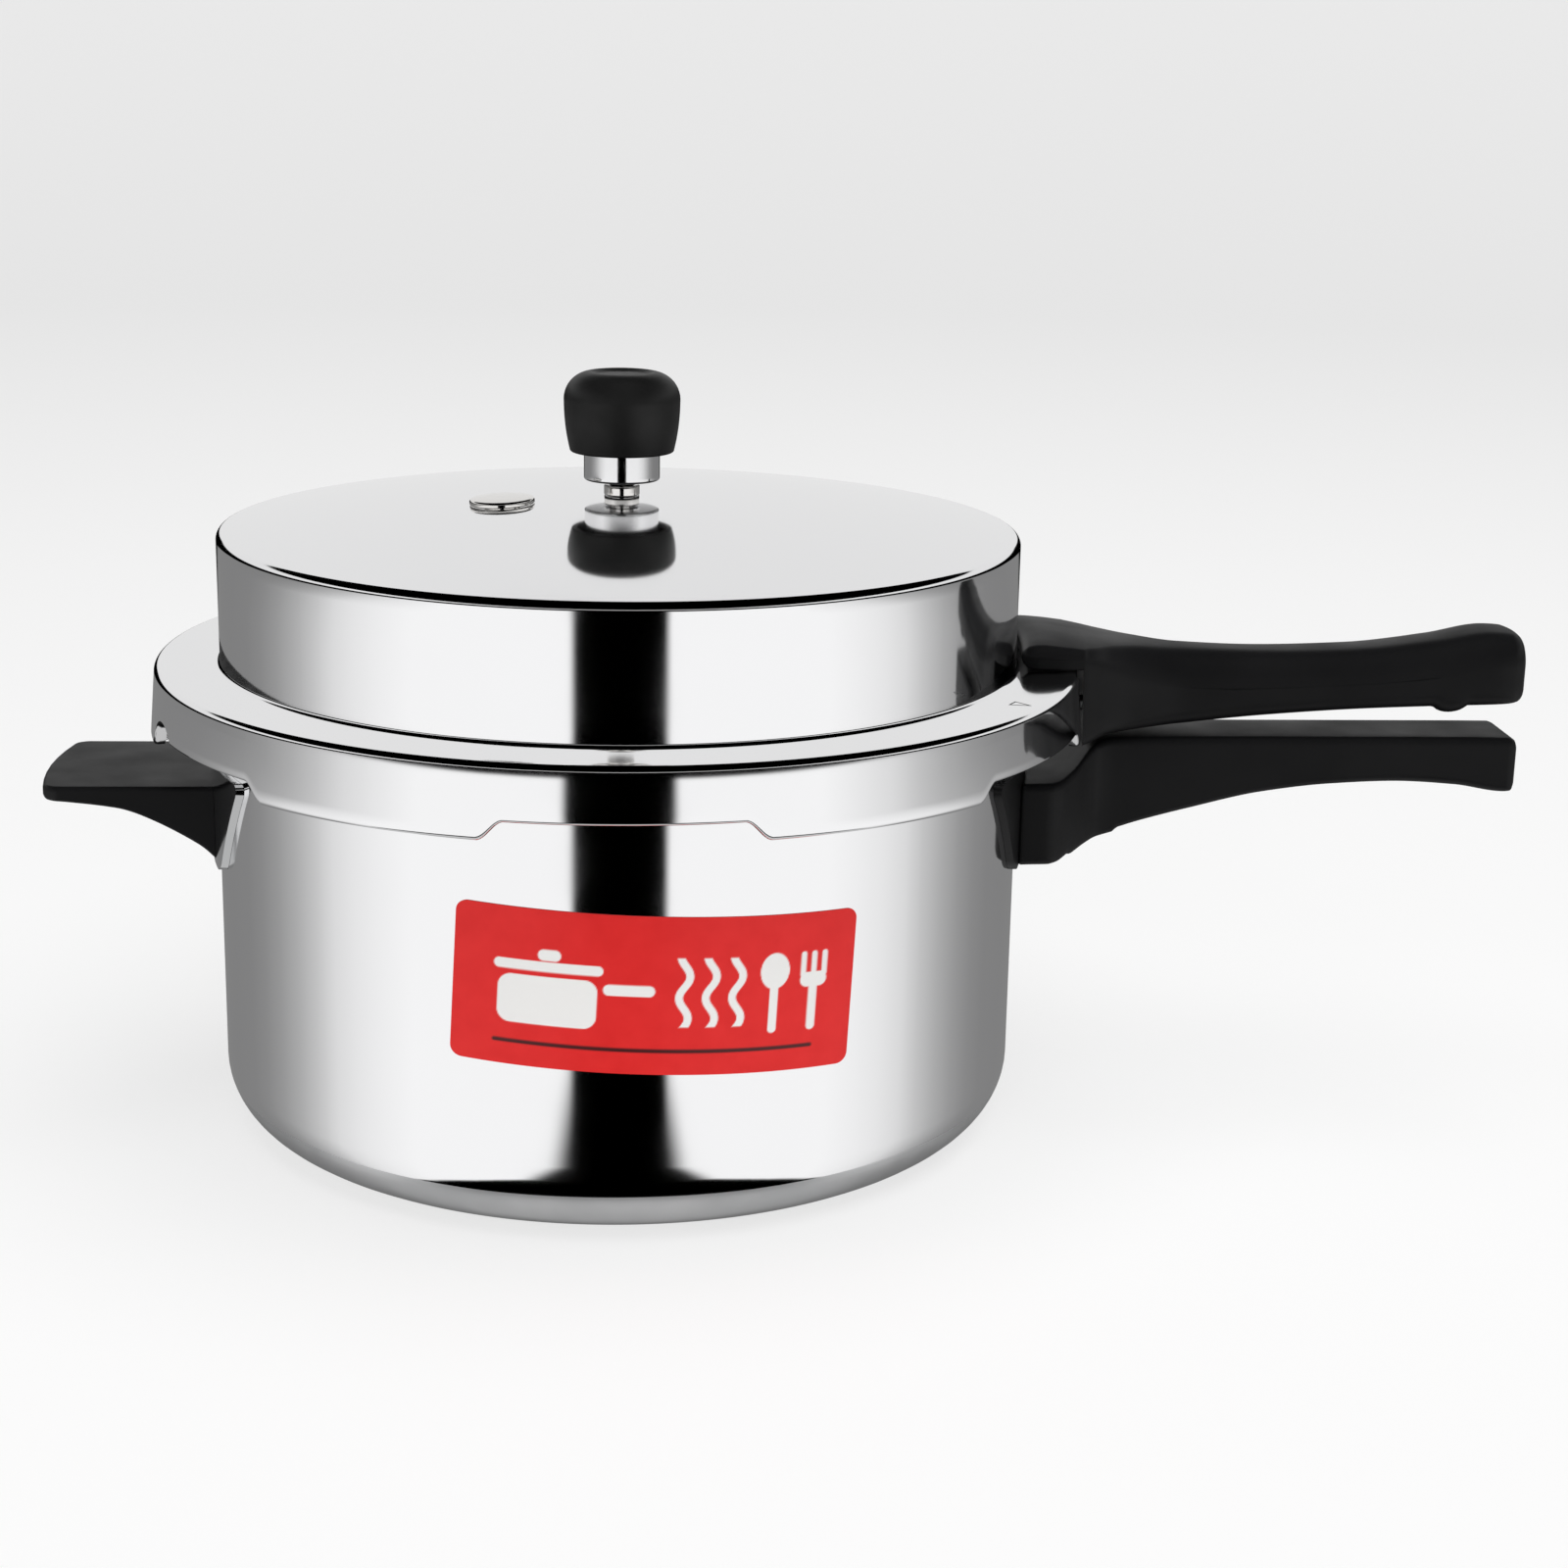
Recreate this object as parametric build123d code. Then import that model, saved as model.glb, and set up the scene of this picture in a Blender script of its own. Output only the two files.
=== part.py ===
from build123d import *
import os
from math import asin, cos, degrees, radians, sin, sqrt

# Stovetop pressure cooker with an outer lid, modelled with the lid locked on.
# Millimetres, +Z up. The origin is the centre of the base, the long handles point along +X,
# and the helper handle points along -X. Angles are counted from +X, anticlockwise from above.

os.makedirs("parts", exist_ok=True)

# ---- Driving dimensions: vessel ----
POT_R = 116.5            # outside radius of the wall
POT_WALL = 3.25
FLOOR_T = 4.5
BASE_CORNER_R = 18.5     # outside radius where wall turns into base
RIM_TOP_Z = 127.5
RIM_T = 3.5
RIM_R = POT_R + 8.5      # edge of the rim between its lugs
LUG_COUNT = 6
LUG_SPAN = 24.0          # degrees covered by one lug
LUG_R = RIM_R + 4.6      # edge of the rim at a lug
LUG_DROP = 8.0           # depth of the turned-down lip of a lug

# ---- Driving dimensions: sealing ring ----
RING_GAP = 0.3           # clear space above and below the relaxed ring
RING_H = 4.4
RING_PAST_DRUM = 0.5     # how far the ring reaches inside the drum

# ---- Driving dimensions: lid ----
LID_T = 3.0
DRUM_R = POT_R - 1.5     # outside radius of the raised drum
FLANGE_Z = RIM_TOP_Z + 2 * RING_GAP + RING_H + LID_T
LID_EDGE_Z = FLANGE_Z + 37.0     # where the dome would meet the drum wall
LID_TOP_Z = LID_EDGE_Z + 9.3     # crown of the dome
LID_EDGE_R = 2.2
DRUM_FOOT_R = 3.2        # hollow rounding between drum and flange
SKIRT_CLEAR = 2.2        # from the rim's lugs out to the skirt's inside
SKIRT_FOOT_R = LUG_R + SKIRT_CLEAR + LID_T
FLANGE_R = SKIRT_FOOT_R - 1.6
FLANGE_EDGE_R = 1.8
TAB_CLEAR = 1.4          # from the plain rim out to the lid's turned-in tabs
TAB_R = RIM_R + TAB_CLEAR
TAB_T = 3.0
TAB_DROP = 1.0           # from a lug's foot down to the tab that passes under it
TAB_SPAN = LUG_SPAN - 2
FOOT_LUG_Z = RIM_TOP_Z - LUG_DROP - TAB_DROP - TAB_T     # foot of the skirt at a lug
FOOT_GAP_Z = FOOT_LUG_Z + 5.0    # foot of the skirt between lugs
FOOT_LUG_SPAN = 28.0     # degrees of skirt that reach down at a lug
FOOT_SLOPE_SPAN = 3.0    # degrees taken by the slope at each side of a lug
NOTCH_ANGLE = 200.0      # gasket-release arch in the skirt
NOTCH_HALF_WIDTH = 11.0
NOTCH_TOP_Z = FOOT_GAP_Z + 4.1
RING_IN_R = DRUM_R - RING_PAST_DRUM
RING_OUT_R = FLANGE_R - LID_T - 0.8

# ---- Driving dimensions: vent and plug ----
VENT_BORE_R = 1.5
VENT_THREAD_R = 4.0
VENT_THREAD_LENGTH = 14.0        # below the crown of the dome
VENT_COLLAR_R = 5.1
VENT_COLLAR_H = 3.0
VENT_NECK_R = 3.4
VENT_MOUTH_CHAMFER = 0.8
VENT_WASHER_R = 9.0
VENT_WASHER_T = 1.2
VENT_NUT_R = 8.0         # across its corners
VENT_NUT_H = 5.0
PLUG_FROM_AXIS = 36.0
PLUG_HEAD_R = 9.2
PLUG_HEAD_H = 2.2
PLUG_THREAD_R = 5.0
PLUG_THREAD_LENGTH = 9.0
PLUG_NUT_R = 8.5         # across its corners
PLUG_NUT_H = 4.0
SLUG_R = 2.5

# ---- Driving dimensions: weight and knob ----
WEIGHT_R = 10.9
WEIGHT_BOTTOM_Z = LID_TOP_Z + VENT_COLLAR_H + 1.4
WEIGHT_H = 13.3
WEIGHT_TOP_Z = WEIGHT_BOTTOM_Z + WEIGHT_H
WEIGHT_STUD_R = 5.0
WEIGHT_STUD_TOP_Z = WEIGHT_TOP_Z + 10.5
WEIGHT_SOCKET_R = 4.6
WEIGHT_SOCKET_TOP_Z = WEIGHT_BOTTOM_Z + 8.3
VENT_TOP_Z = WEIGHT_BOTTOM_Z + 5.0
NEEDLE_R = VENT_BORE_R + 0.5
NEEDLE_SHANK_R = 1.5
CLIP_WIRE_R = 0.5
CLIP_Z = WEIGHT_BOTTOM_Z + 2.2
KNOB_BOTTOM_Z = WEIGHT_BOTTOM_Z + 8.1
KNOB_TOP_Z = KNOB_BOTTOM_Z + 22.7
KNOB_R = 16.6
KNOB_FOOT_R = 15.0
KNOB_HOLLOW_R = 12.8
KNOB_SHOULDER_H = 8.6
KNOB_DISH_R = 9.2
KNOB_DISH_DEPTH = 0.8

# ---- Driving dimensions: brackets, rivets and screws ----
BRACKET_T = 2.0
BRACKET_TOP_Z = FOOT_LUG_Z - 6.0
BRACKET_H = 30.5
BRACKET_BOTTOM_Z = BRACKET_TOP_Z - BRACKET_H
BRACKET_TOP_HALF = 56.0
BRACKET_BOTTOM_HALF = 36.0
TONGUE_HALF = 8.0
TONGUE_T = 3.0
SCREW_FROM_TONGUE_END = 8.0
RIVET_R = 2.2
RIVET_HEAD_R = 4.2
RIVET_HEAD_H = 1.5
RIVET_HALF_SPREAD = 19.0         # vessel rivets, each side of the handle's middle
LID_RIVET_HALF_SPREAD = 13.0
SCREW_R = 2.5
SCREW_HEAD_R = 4.6
SCREW_HEAD_H = 3.0
WASHER_R = 5.2
WASHER_T = 1.0
LID_BRACKET_HALF = 19.0
LID_BRACKET_LOW_Z = FOOT_LUG_Z + 2.5
LID_BRACKET_TOP_Z = FLANGE_Z - 4.0
LID_BRACKET_R = SKIRT_FOOT_R + 0.1
LID_RIVET_Z = FOOT_LUG_Z + 8.5
LID_TONGUE_REACH = 32.0
LID_TONGUE_Z = FLANGE_Z - 9.0
LID_SCREW_X = SKIRT_FOOT_R + LID_TONGUE_REACH - SCREW_FROM_TONGUE_END
LID_SCREW_HEAD_Z = LID_TONGUE_Z - 7.9

# ---- Driving dimensions: handles ----
LID_HANDLE_LENGTH = 151.1
LID_HANDLE_HALF = 24.5   # half width where it sits over the flange
BODY_HANDLE_LENGTH = 149.1
BODY_HANDLE_HALF = 30.0  # half width at the vessel
BODY_HANDLE_TOP_Z = FOOT_LUG_Z - 3.5
BODY_TONGUE_REACH = 38.0
BODY_TONGUE_Z = BODY_HANDLE_TOP_Z - 19.0
BODY_SCREW_X = POT_R + BODY_TONGUE_REACH - SCREW_FROM_TONGUE_END
BODY_SCREW_HEAD_Z = BODY_TONGUE_Z - 7.0
HELPER_LENGTH = 49.5
HELPER_HALF = 27.5
HELPER_TOP_Z = FOOT_LUG_Z - 13.9
HELPER_TONGUE_REACH = 22.0
HELPER_TONGUE_Z = HELPER_TOP_Z - 6.1
HELPER_SCREW_X = POT_R + HELPER_TONGUE_REACH - SCREW_FROM_TONGUE_END
HELPER_SCREW_HEAD_Z = HELPER_TONGUE_Z - 5.5

# ---- Named clearances ----
FIT = 0.1                # fixed piece in its pocket or hole
CLOSE = 0.05             # pieces pulled tight against each other by a thread or rivet
SEAT = 0.15              # flat head or washer under a gently curved wall
RUN = 0.3                # moving or soft piece beside its neighbour
LID_HANDLE_GAP = 0.2     # handle above the flange and outside the skirt

# ---- Label ----
LABEL_T = 0.2
LABEL_HALF_WIDTH = 52.5
LABEL_HEIGHT = 43.0
LABEL_MID_Z = 70.0
LABEL_TURN = 4.5         # degrees round the vessel from its front
LABEL_TILT = 3.0

LUG_ANGLES = [index * 360 / LUG_COUNT for index in range(LUG_COUNT)]


# ---- Shared shapes ----
def turned(outline):
    """A solid of revolution about Z from a closed outline drawn as (radius, height)."""
    return revolve(Plane.XZ * outline, Axis.Z)


def closed(*points):
    """A flat outline with straight sides."""
    return make_face(Polyline(*points, close=True))


def rounded_at(outline, point, radius):
    """The outline with its corner nearest to a point rounded."""
    corner = outline.vertices().sort_by_distance((point[0], point[1], 0))[0]
    return fillet(corner, radius)


def ring_sector(r_in, r_out, z_low, z_high, mid_angle, span):
    """A piece of a ring, centred on an angle."""
    face = Plane.XZ * closed((r_in, z_low), (r_out, z_low), (r_out, z_high), (r_in, z_high))
    return Rot(0, 0, mid_angle - span / 2) * revolve(face, Axis.Z, span)


def tube(r_in, r_out, z_low, z_high):
    return turned(closed((r_in, z_low), (r_out, z_low), (r_out, z_high), (r_in, z_high)))


def rod(radius, z_low, z_high):
    return Pos(0, 0, (z_low + z_high) / 2) * Cylinder(radius, z_high - z_low)


def radial_rod(radius, r_from, r_to, angle, z):
    """A round rod that points away from the Z axis."""
    lying = Rot(0, 90, 0) * Cylinder(radius, r_to - r_from)
    return Rot(0, 0, angle) * Pos((r_from + r_to) / 2, 0, z) * lying


def block(x_low, x_high, half_y, z_low, z_high):
    size = (x_high - x_low, 2 * half_y, z_high - z_low)
    return Pos((x_low + x_high) / 2, 0, (z_low + z_high) / 2) * Box(*size)


def hexagon_nut(across_corners_r, hole_r, z_low, z_high):
    prism = Pos(0, 0, z_low) * extrude(RegularPolygon(across_corners_r, 6), z_high - z_low)
    return prism - rod(hole_r, z_low - 1, z_high + 1)


def lofted_grip(stations):
    """A long grip through rounded sections given as (x, half width, bottom, top, corner radius)."""
    sections = []
    for x, half, bottom, top, radius in stations:
        plane = Plane(origin=(x, 0, (bottom + top) / 2), x_dir=(0, 1, 0), z_dir=(1, 0, 0))
        sections.append(plane * RectangleRounded(2 * half, top - bottom, radius))
    return loft(sections)


def save(name, shape):
    shape.label = name
    export_step(shape, "parts/" + name + ".step")


# ---- Vessel ----
def pot_body():
    """Spun vessel with a flat base, and an outward rim that carries six turned-down lugs."""
    inner_r = POT_R - POT_WALL
    outline = closed(
        (0, 0), (POT_R, 0), (POT_R, RIM_TOP_Z - RIM_T), (RIM_R, RIM_TOP_Z - RIM_T),
        (RIM_R, RIM_TOP_Z), (inner_r, RIM_TOP_Z), (inner_r, FLOOR_T), (0, FLOOR_T),
    )
    outline = rounded_at(outline, (POT_R, 0), BASE_CORNER_R)
    outline = rounded_at(outline, (inner_r, FLOOR_T), BASE_CORNER_R - POT_WALL)
    outline = rounded_at(outline, (POT_R, RIM_TOP_Z - RIM_T), 1.5)
    outline = rounded_at(outline, (inner_r, RIM_TOP_Z), 1.0)
    body = turned(outline)
    for angle in LUG_ANGLES:
        body += ring_sector(RIM_R - 1, LUG_R, RIM_TOP_Z - RIM_T, RIM_TOP_Z, angle, LUG_SPAN)
        body += ring_sector(LUG_R - RIM_T, LUG_R, RIM_TOP_Z - LUG_DROP, RIM_TOP_Z, angle, LUG_SPAN)
    for side in (0, 180):
        for angle, z in bracket_rivet_places(side):
            body -= radial_rod(RIVET_R + FIT, POT_R - 2 * POT_WALL, POT_R + 1, angle, z)
    return body


def bracket_rivet_places(side):
    """Angle and height of the two rivets that hold a vessel bracket."""
    spread = degrees(asin(RIVET_HALF_SPREAD / POT_R))
    height = BRACKET_BOTTOM_Z + 12
    return [(side - spread, height), (side + spread, height)]


def vessel_bracket(tongue_reach, tongue_z):
    """Bracket on the +X side: a plate bent round the wall, with a tongue that enters the handle."""
    inner = POT_R + CLOSE
    outer = inner + BRACKET_T
    plate = tube(inner, outer, BRACKET_BOTTOM_Z, BRACKET_TOP_Z)
    front = closed(
        (-BRACKET_BOTTOM_HALF, BRACKET_BOTTOM_Z), (BRACKET_BOTTOM_HALF, BRACKET_BOTTOM_Z),
        (BRACKET_TOP_HALF, BRACKET_TOP_Z), (-BRACKET_TOP_HALF, BRACKET_TOP_Z),
    )
    front = fillet(front.vertices(), 4)
    plate = plate & (Plane.YZ * extrude(front, POT_R + 10))
    tongue = block(POT_R + BRACKET_T / 2, POT_R + tongue_reach, TONGUE_HALF, tongue_z, tongue_z + TONGUE_T)
    tongue -= rod(POT_R + 0.5, tongue_z - 1, tongue_z + TONGUE_T + 1)
    screw_x = POT_R + tongue_reach - SCREW_FROM_TONGUE_END
    bracket = plate + tongue
    bracket -= Pos(screw_x, 0, 0) * rod(SCREW_R + FIT, tongue_z - 1, tongue_z + TONGUE_T + 1)
    for angle, z in bracket_rivet_places(0):
        bracket -= radial_rod(RIVET_R + FIT, POT_R - 1, POT_R + 10, angle, z)
    return bracket


def vessel_rivets(side):
    """Two round-headed rivets, with a low head inside the vessel and one outside its bracket."""
    inside = POT_R - POT_WALL
    outside = POT_R + CLOSE + BRACKET_T
    rivets = []
    for angle, z in bracket_rivet_places(side):
        shank = radial_rod(RIVET_R, inside - RIVET_HEAD_H / 2, outside + RIVET_HEAD_H / 2, angle, z)
        inner_head = radial_rod(RIVET_HEAD_R, inside - RIVET_HEAD_H - SEAT, inside - SEAT, angle, z)
        outer_head = radial_rod(RIVET_HEAD_R, outside + CLOSE, outside + RIVET_HEAD_H, angle, z)
        rivets.append(shank + inner_head + outer_head)
    return Compound(children=rivets)


def clamp_screw(x, head_low_z, tip_z):
    """Pan-head screw that comes up from below, with a cross recess in its head."""
    head_top = head_low_z + SCREW_HEAD_H
    screw = rod(SCREW_HEAD_R, head_low_z, head_top) + rod(SCREW_R, head_top - 0.5, tip_z)
    for turn in (0, 90):
        screw -= Rot(0, 0, turn) * Pos(0, 0, head_low_z) * Box(6, 1.2, 2.4)
    return Pos(x, 0, 0) * screw


def clamp_washer(x, head_low_z):
    low = head_low_z + SCREW_HEAD_H
    return Pos(x, 0, 0) * tube(SCREW_R + FIT, WASHER_R, low + 0.02, low + WASHER_T)


def screw_pocket(x, head_low_z, top_z):
    """The space that a clamp screw, its washer and its driver need in a handle."""
    shoulder = head_low_z + SCREW_HEAD_H + WASHER_T
    wide = rod(WASHER_R + FIT, head_low_z - 30, shoulder)
    return Pos(x, 0, 0) * (wide + rod(SCREW_R + FIT, shoulder - 1, top_z))


# ---- Handles on the vessel ----
def handle_seat():
    """The round space that the vessel, its bracket and the outer rivet heads take from a handle."""
    seat = rod(POT_R + CLOSE + BRACKET_T + FIT, 0, RIM_TOP_Z)
    for angle, z in bracket_rivet_places(0):
        seat += radial_rod(RIVET_HEAD_R + FIT, POT_R, POT_R + BRACKET_T + RIVET_HEAD_H + 0.5, angle, z)
    return seat


def tongue_slot(reach, low_z):
    """The slot in a handle for its bracket's tongue."""
    return block(POT_R, POT_R + reach + FIT, TONGUE_HALF + FIT, low_z - FIT, low_z + TONGUE_T + FIT)


def body_handle():
    """Long lower grip: a wide block at the vessel that steps up to a flat-topped, slightly arched grip."""
    start = POT_R - 4
    tip = POT_R + BODY_HANDLE_LENGTH
    top = BODY_HANDLE_TOP_Z
    half = BODY_HANDLE_HALF
    stations = [
        (start, half, top - 34.2, top - 9.8, 2.6),
        (POT_R + 7.5, half, top - 34.2, top - 9.8, 2.6),
        (POT_R + 12.5, half * 0.92, top - 32.9, top - 8.6, 2.6),
        (POT_R + 17.5, half * 0.76, top - 30.8, top - 5.3, 2.6),
        (POT_R + 22.0, half * 0.62, top - 29.6, top - 1.8, 2.6),
        (POT_R + 27.0, half * 0.53, top - 28.6, top - 0.2, 2.6),
        (POT_R + 36.0, half * 0.47, top - 26.4, top, 2.6),
        (POT_R + 51.5, half * 0.43, top - 21.8, top, 2.6),
        (POT_R + 73.0, half * 0.417, top - 16.9, top, 2.6),
        (tip - 55.0, half * 0.417, top - 14.4, top, 2.6),
        (tip - 36.0, half * 0.417, top - 13.6, top, 2.6),
        (tip - 18.0, half * 0.417, top - 14.6, top, 2.6),
        (tip - 4.5, half * 0.417, top - 16.6, top - 0.3, 2.6),
        (tip - 1.3, half * 0.39, top - 16.2, top - 1.4, 2.4),
        (tip, half * 0.33, top - 14.2, top - 3.4, 2.0),
    ]
    handle = lofted_grip(stations) - handle_seat() - tongue_slot(BODY_TONGUE_REACH, BODY_TONGUE_Z)
    return handle - screw_pocket(BODY_SCREW_X, BODY_SCREW_HEAD_Z, BODY_TONGUE_Z + TONGUE_T + 4)


def helper_handle():
    """Short D-shaped ledge with a flat top and a hollow curve beneath, made on +X and turned to -X."""
    tip = POT_R + HELPER_LENGTH
    corner_x = tip - 4
    plan = make_face(Curve() + [
        Line((POT_R - 12, -HELPER_HALF), (corner_x, -HELPER_HALF)),
        ThreePointArc((corner_x, -HELPER_HALF), (tip, 0), (corner_x, HELPER_HALF)),
        Line((corner_x, HELPER_HALF), (POT_R - 12, HELPER_HALF)),
        Line((POT_R - 12, HELPER_HALF), (POT_R - 12, -HELPER_HALF)),
    ])
    plan = fillet(plan.vertices().group_by(Axis.X)[-1], 7)
    foot = (POT_R - 12, HELPER_TOP_Z - 27)
    side = make_face(Curve() + [
        Spline(foot, (POT_R - 3, HELPER_TOP_Z - 22.6), (POT_R + 5, HELPER_TOP_Z - 15.2),
               (POT_R + 15.5, HELPER_TOP_Z - 9.0), (POT_R + 27, HELPER_TOP_Z - 5.6),
               (tip - 6, HELPER_TOP_Z - 4.3), (tip + 1, HELPER_TOP_Z - 4.1)),
        Line((tip + 1, HELPER_TOP_Z - 4.1), (tip + 1, HELPER_TOP_Z)),
        Line((tip + 1, HELPER_TOP_Z), (POT_R - 12, HELPER_TOP_Z)),
        Line((POT_R - 12, HELPER_TOP_Z), foot),
    ])
    ledge = Pos(0, 0, HELPER_TOP_Z - 40) * extrude(plan, 60)
    ledge = ledge & (Pos(0, 40, 0) * extrude(Plane.XZ * side, 80))
    ledge = fillet(ledge.faces().sort_by(Axis.Z)[-1].edges(), 1.5)
    ledge = ledge - handle_seat() - tongue_slot(HELPER_TONGUE_REACH, HELPER_TONGUE_Z)
    ledge -= screw_pocket(HELPER_SCREW_X, HELPER_SCREW_HEAD_Z, HELPER_TONGUE_Z + TONGUE_T + 1.5)
    return Rot(0, 0, 180) * ledge


# ---- Lid ----
def dome_points(top_z, edge_r, edge_z):
    """Crown, half-way point and edge of a shallow spherical dome."""
    drop = top_z - edge_z
    sphere_r = (edge_r ** 2 + drop ** 2) / (2 * drop)
    middle_r = edge_r / 2
    middle_z = top_z - sphere_r + sqrt(sphere_r ** 2 - middle_r ** 2)
    return (0, top_z), (middle_r, middle_z), (edge_r, edge_z)


def lid_outline():
    outer = dome_points(LID_TOP_Z, DRUM_R, LID_EDGE_Z)
    inner_r = DRUM_R - LID_T
    inner = dome_points(LID_TOP_Z - LID_T, inner_r, LID_EDGE_Z - LID_T + 0.4)
    flange_low = FLANGE_Z - LID_T
    outline = make_face(Curve() + [
        ThreePointArc(*outer),
        Line((DRUM_R, LID_EDGE_Z), (DRUM_R, FLANGE_Z)),
        Line((DRUM_R, FLANGE_Z), (FLANGE_R, FLANGE_Z)),
        Line((FLANGE_R, FLANGE_Z), (SKIRT_FOOT_R, FOOT_LUG_Z)),
        Line((SKIRT_FOOT_R, FOOT_LUG_Z), (SKIRT_FOOT_R - LID_T, FOOT_LUG_Z)),
        Line((SKIRT_FOOT_R - LID_T, FOOT_LUG_Z), (FLANGE_R - LID_T, flange_low)),
        Line((FLANGE_R - LID_T, flange_low), (inner_r, flange_low)),
        Line((inner_r, flange_low), inner[2]),
        ThreePointArc(inner[2], inner[1], inner[0]),
        Line(inner[0], (0, LID_TOP_Z)),
    ])
    outline = rounded_at(outline, (DRUM_R, LID_EDGE_Z), LID_EDGE_R)
    outline = rounded_at(outline, (DRUM_R, FLANGE_Z), DRUM_FOOT_R)
    outline = rounded_at(outline, (FLANGE_R, FLANGE_Z), FLANGE_EDGE_R)
    return rounded_at(outline, inner[2], 1.0)


def foot_gap_cutter(angle):
    """Takes the skirt's foot away between two lugs, with a soft slope at each side."""
    foot_half_angle = 180 / LUG_COUNT - FOOT_LUG_SPAN / 2
    flat_half = SKIRT_FOOT_R * sin(radians(foot_half_angle - FOOT_SLOPE_SPAN))
    foot_half = SKIRT_FOOT_R * sin(radians(foot_half_angle))
    low = FOOT_LUG_Z - 2
    outline = make_face(Curve() + [
        Line((-foot_half, low), (foot_half, low)),
        Line((foot_half, low), (foot_half, FOOT_LUG_Z)),
        Spline((foot_half, FOOT_LUG_Z), (flat_half, FOOT_GAP_Z), tangents=((-1, 0), (-1, 0))),
        Line((flat_half, FOOT_GAP_Z), (-flat_half, FOOT_GAP_Z)),
        Spline((-flat_half, FOOT_GAP_Z), (-foot_half, FOOT_LUG_Z), tangents=((-1, 0), (-1, 0))),
        Line((-foot_half, FOOT_LUG_Z), (-foot_half, low)),
    ])
    return Rot(0, 0, angle) * (Pos(TAB_R - 6, 0, 0) * (Plane.YZ * extrude(outline, 20)))


def release_notch():
    """The arch through which the sealing ring gives way if the pressure is far too high."""
    arch = Ellipse(NOTCH_HALF_WIDTH, NOTCH_TOP_Z - FOOT_LUG_Z)
    cutter = Pos(TAB_R + 3, 0, FOOT_LUG_Z) * (Plane.YZ * extrude(arch, 14))
    return Rot(0, 0, NOTCH_ANGLE) * cutter


def lid():
    """Pressed lid: a domed drum, a flat flange, and a skirt with turned-in tabs under the rim lugs."""
    shell = turned(lid_outline())
    for angle in LUG_ANGLES:
        shell -= foot_gap_cutter(angle + 180 / LUG_COUNT)
    shell -= release_notch()
    for angle in LUG_ANGLES:
        tab_outer_r = SKIRT_FOOT_R - 0.6 * LID_T
        shell += ring_sector(TAB_R, tab_outer_r, FOOT_LUG_Z, FOOT_LUG_Z + TAB_T, angle, TAB_SPAN)
    shell -= rod(VENT_THREAD_R + FIT, LID_TOP_Z - 2 * LID_T, LID_TOP_Z + 1)
    shell -= plug_place() * rod(PLUG_THREAD_R + FIT, -2 * LID_T, LID_T)
    for angle in lid_rivet_angles():
        shell -= radial_rod(RIVET_R + FIT, TAB_R + 3, SKIRT_FOOT_R + 2, angle, LID_RIVET_Z)
    return shell


# ---- Pieces fixed to the lid ----
def lid_rivet_angles():
    spread = degrees(asin(LID_RIVET_HALF_SPREAD / SKIRT_FOOT_R))
    return [-spread, spread]


def dome_height(radius):
    """Height of the dome's outside at a distance from the axis."""
    drop = LID_TOP_Z - LID_EDGE_Z
    sphere_r = (DRUM_R ** 2 + drop ** 2) / (2 * drop)
    return LID_TOP_Z - sphere_r + sqrt(sphere_r ** 2 - radius ** 2)


def plug_place():
    """Stands on the dome at the safety plug, leaning with the dome, on the release notch's side."""
    drop = LID_TOP_Z - LID_EDGE_Z
    sphere_r = (DRUM_R ** 2 + drop ** 2) / (2 * drop)
    lean = degrees(asin(PLUG_FROM_AXIS / sphere_r))
    return Rot(0, 0, NOTCH_ANGLE) * Pos(PLUG_FROM_AXIS, 0, dome_height(PLUG_FROM_AXIS)) * Rot(0, lean, 0)


def safety_plug():
    """Screwed plug with a low round head, bored to hold the fusible slug."""
    rim_z = PLUG_HEAD_H - 0.6
    outline = closed((0, FIT), (PLUG_HEAD_R, FIT), (PLUG_HEAD_R, rim_z), (0, PLUG_HEAD_H))
    head = turned(rounded_at(outline, (PLUG_HEAD_R, rim_z), 0.8))
    plug = head + rod(PLUG_THREAD_R, -PLUG_THREAD_LENGTH, 0.5) - rod(SLUG_R, -PLUG_THREAD_LENGTH - 1, -1)
    return plug_place() * plug


def fusible_slug():
    return plug_place() * rod(SLUG_R - CLOSE, 0.2 - PLUG_THREAD_LENGTH, -1 - CLOSE)


def safety_plug_nut():
    high = -LID_T - 0.6
    return plug_place() * hexagon_nut(PLUG_NUT_R, PLUG_THREAD_R + CLOSE, high - PLUG_NUT_H, high)


def vent_tube():
    """Threaded vent tube with a collar on top of the dome and a tapered seat for the weight's needle."""
    foot = LID_TOP_Z - VENT_THREAD_LENGTH
    collar_low = LID_TOP_Z + CLOSE
    collar_top = LID_TOP_Z + VENT_COLLAR_H
    outline = closed(
        (VENT_BORE_R, foot), (VENT_THREAD_R, foot), (VENT_THREAD_R, collar_low),
        (VENT_COLLAR_R, collar_low), (VENT_COLLAR_R, collar_top), (VENT_NECK_R, collar_top),
        (VENT_NECK_R, VENT_TOP_Z), (VENT_BORE_R + VENT_MOUTH_CHAMFER, VENT_TOP_Z),
        (VENT_BORE_R, VENT_TOP_Z - 2 * VENT_MOUTH_CHAMFER),
    )
    return turned(outline)


def vent_washer():
    high = LID_TOP_Z - LID_T - SEAT
    return tube(VENT_THREAD_R + CLOSE, VENT_WASHER_R, high - VENT_WASHER_T, high)


def vent_nut():
    high = LID_TOP_Z - LID_T - SEAT - VENT_WASHER_T - CLOSE
    return hexagon_nut(VENT_NUT_R, VENT_THREAD_R + CLOSE, high - VENT_NUT_H, high)


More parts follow.
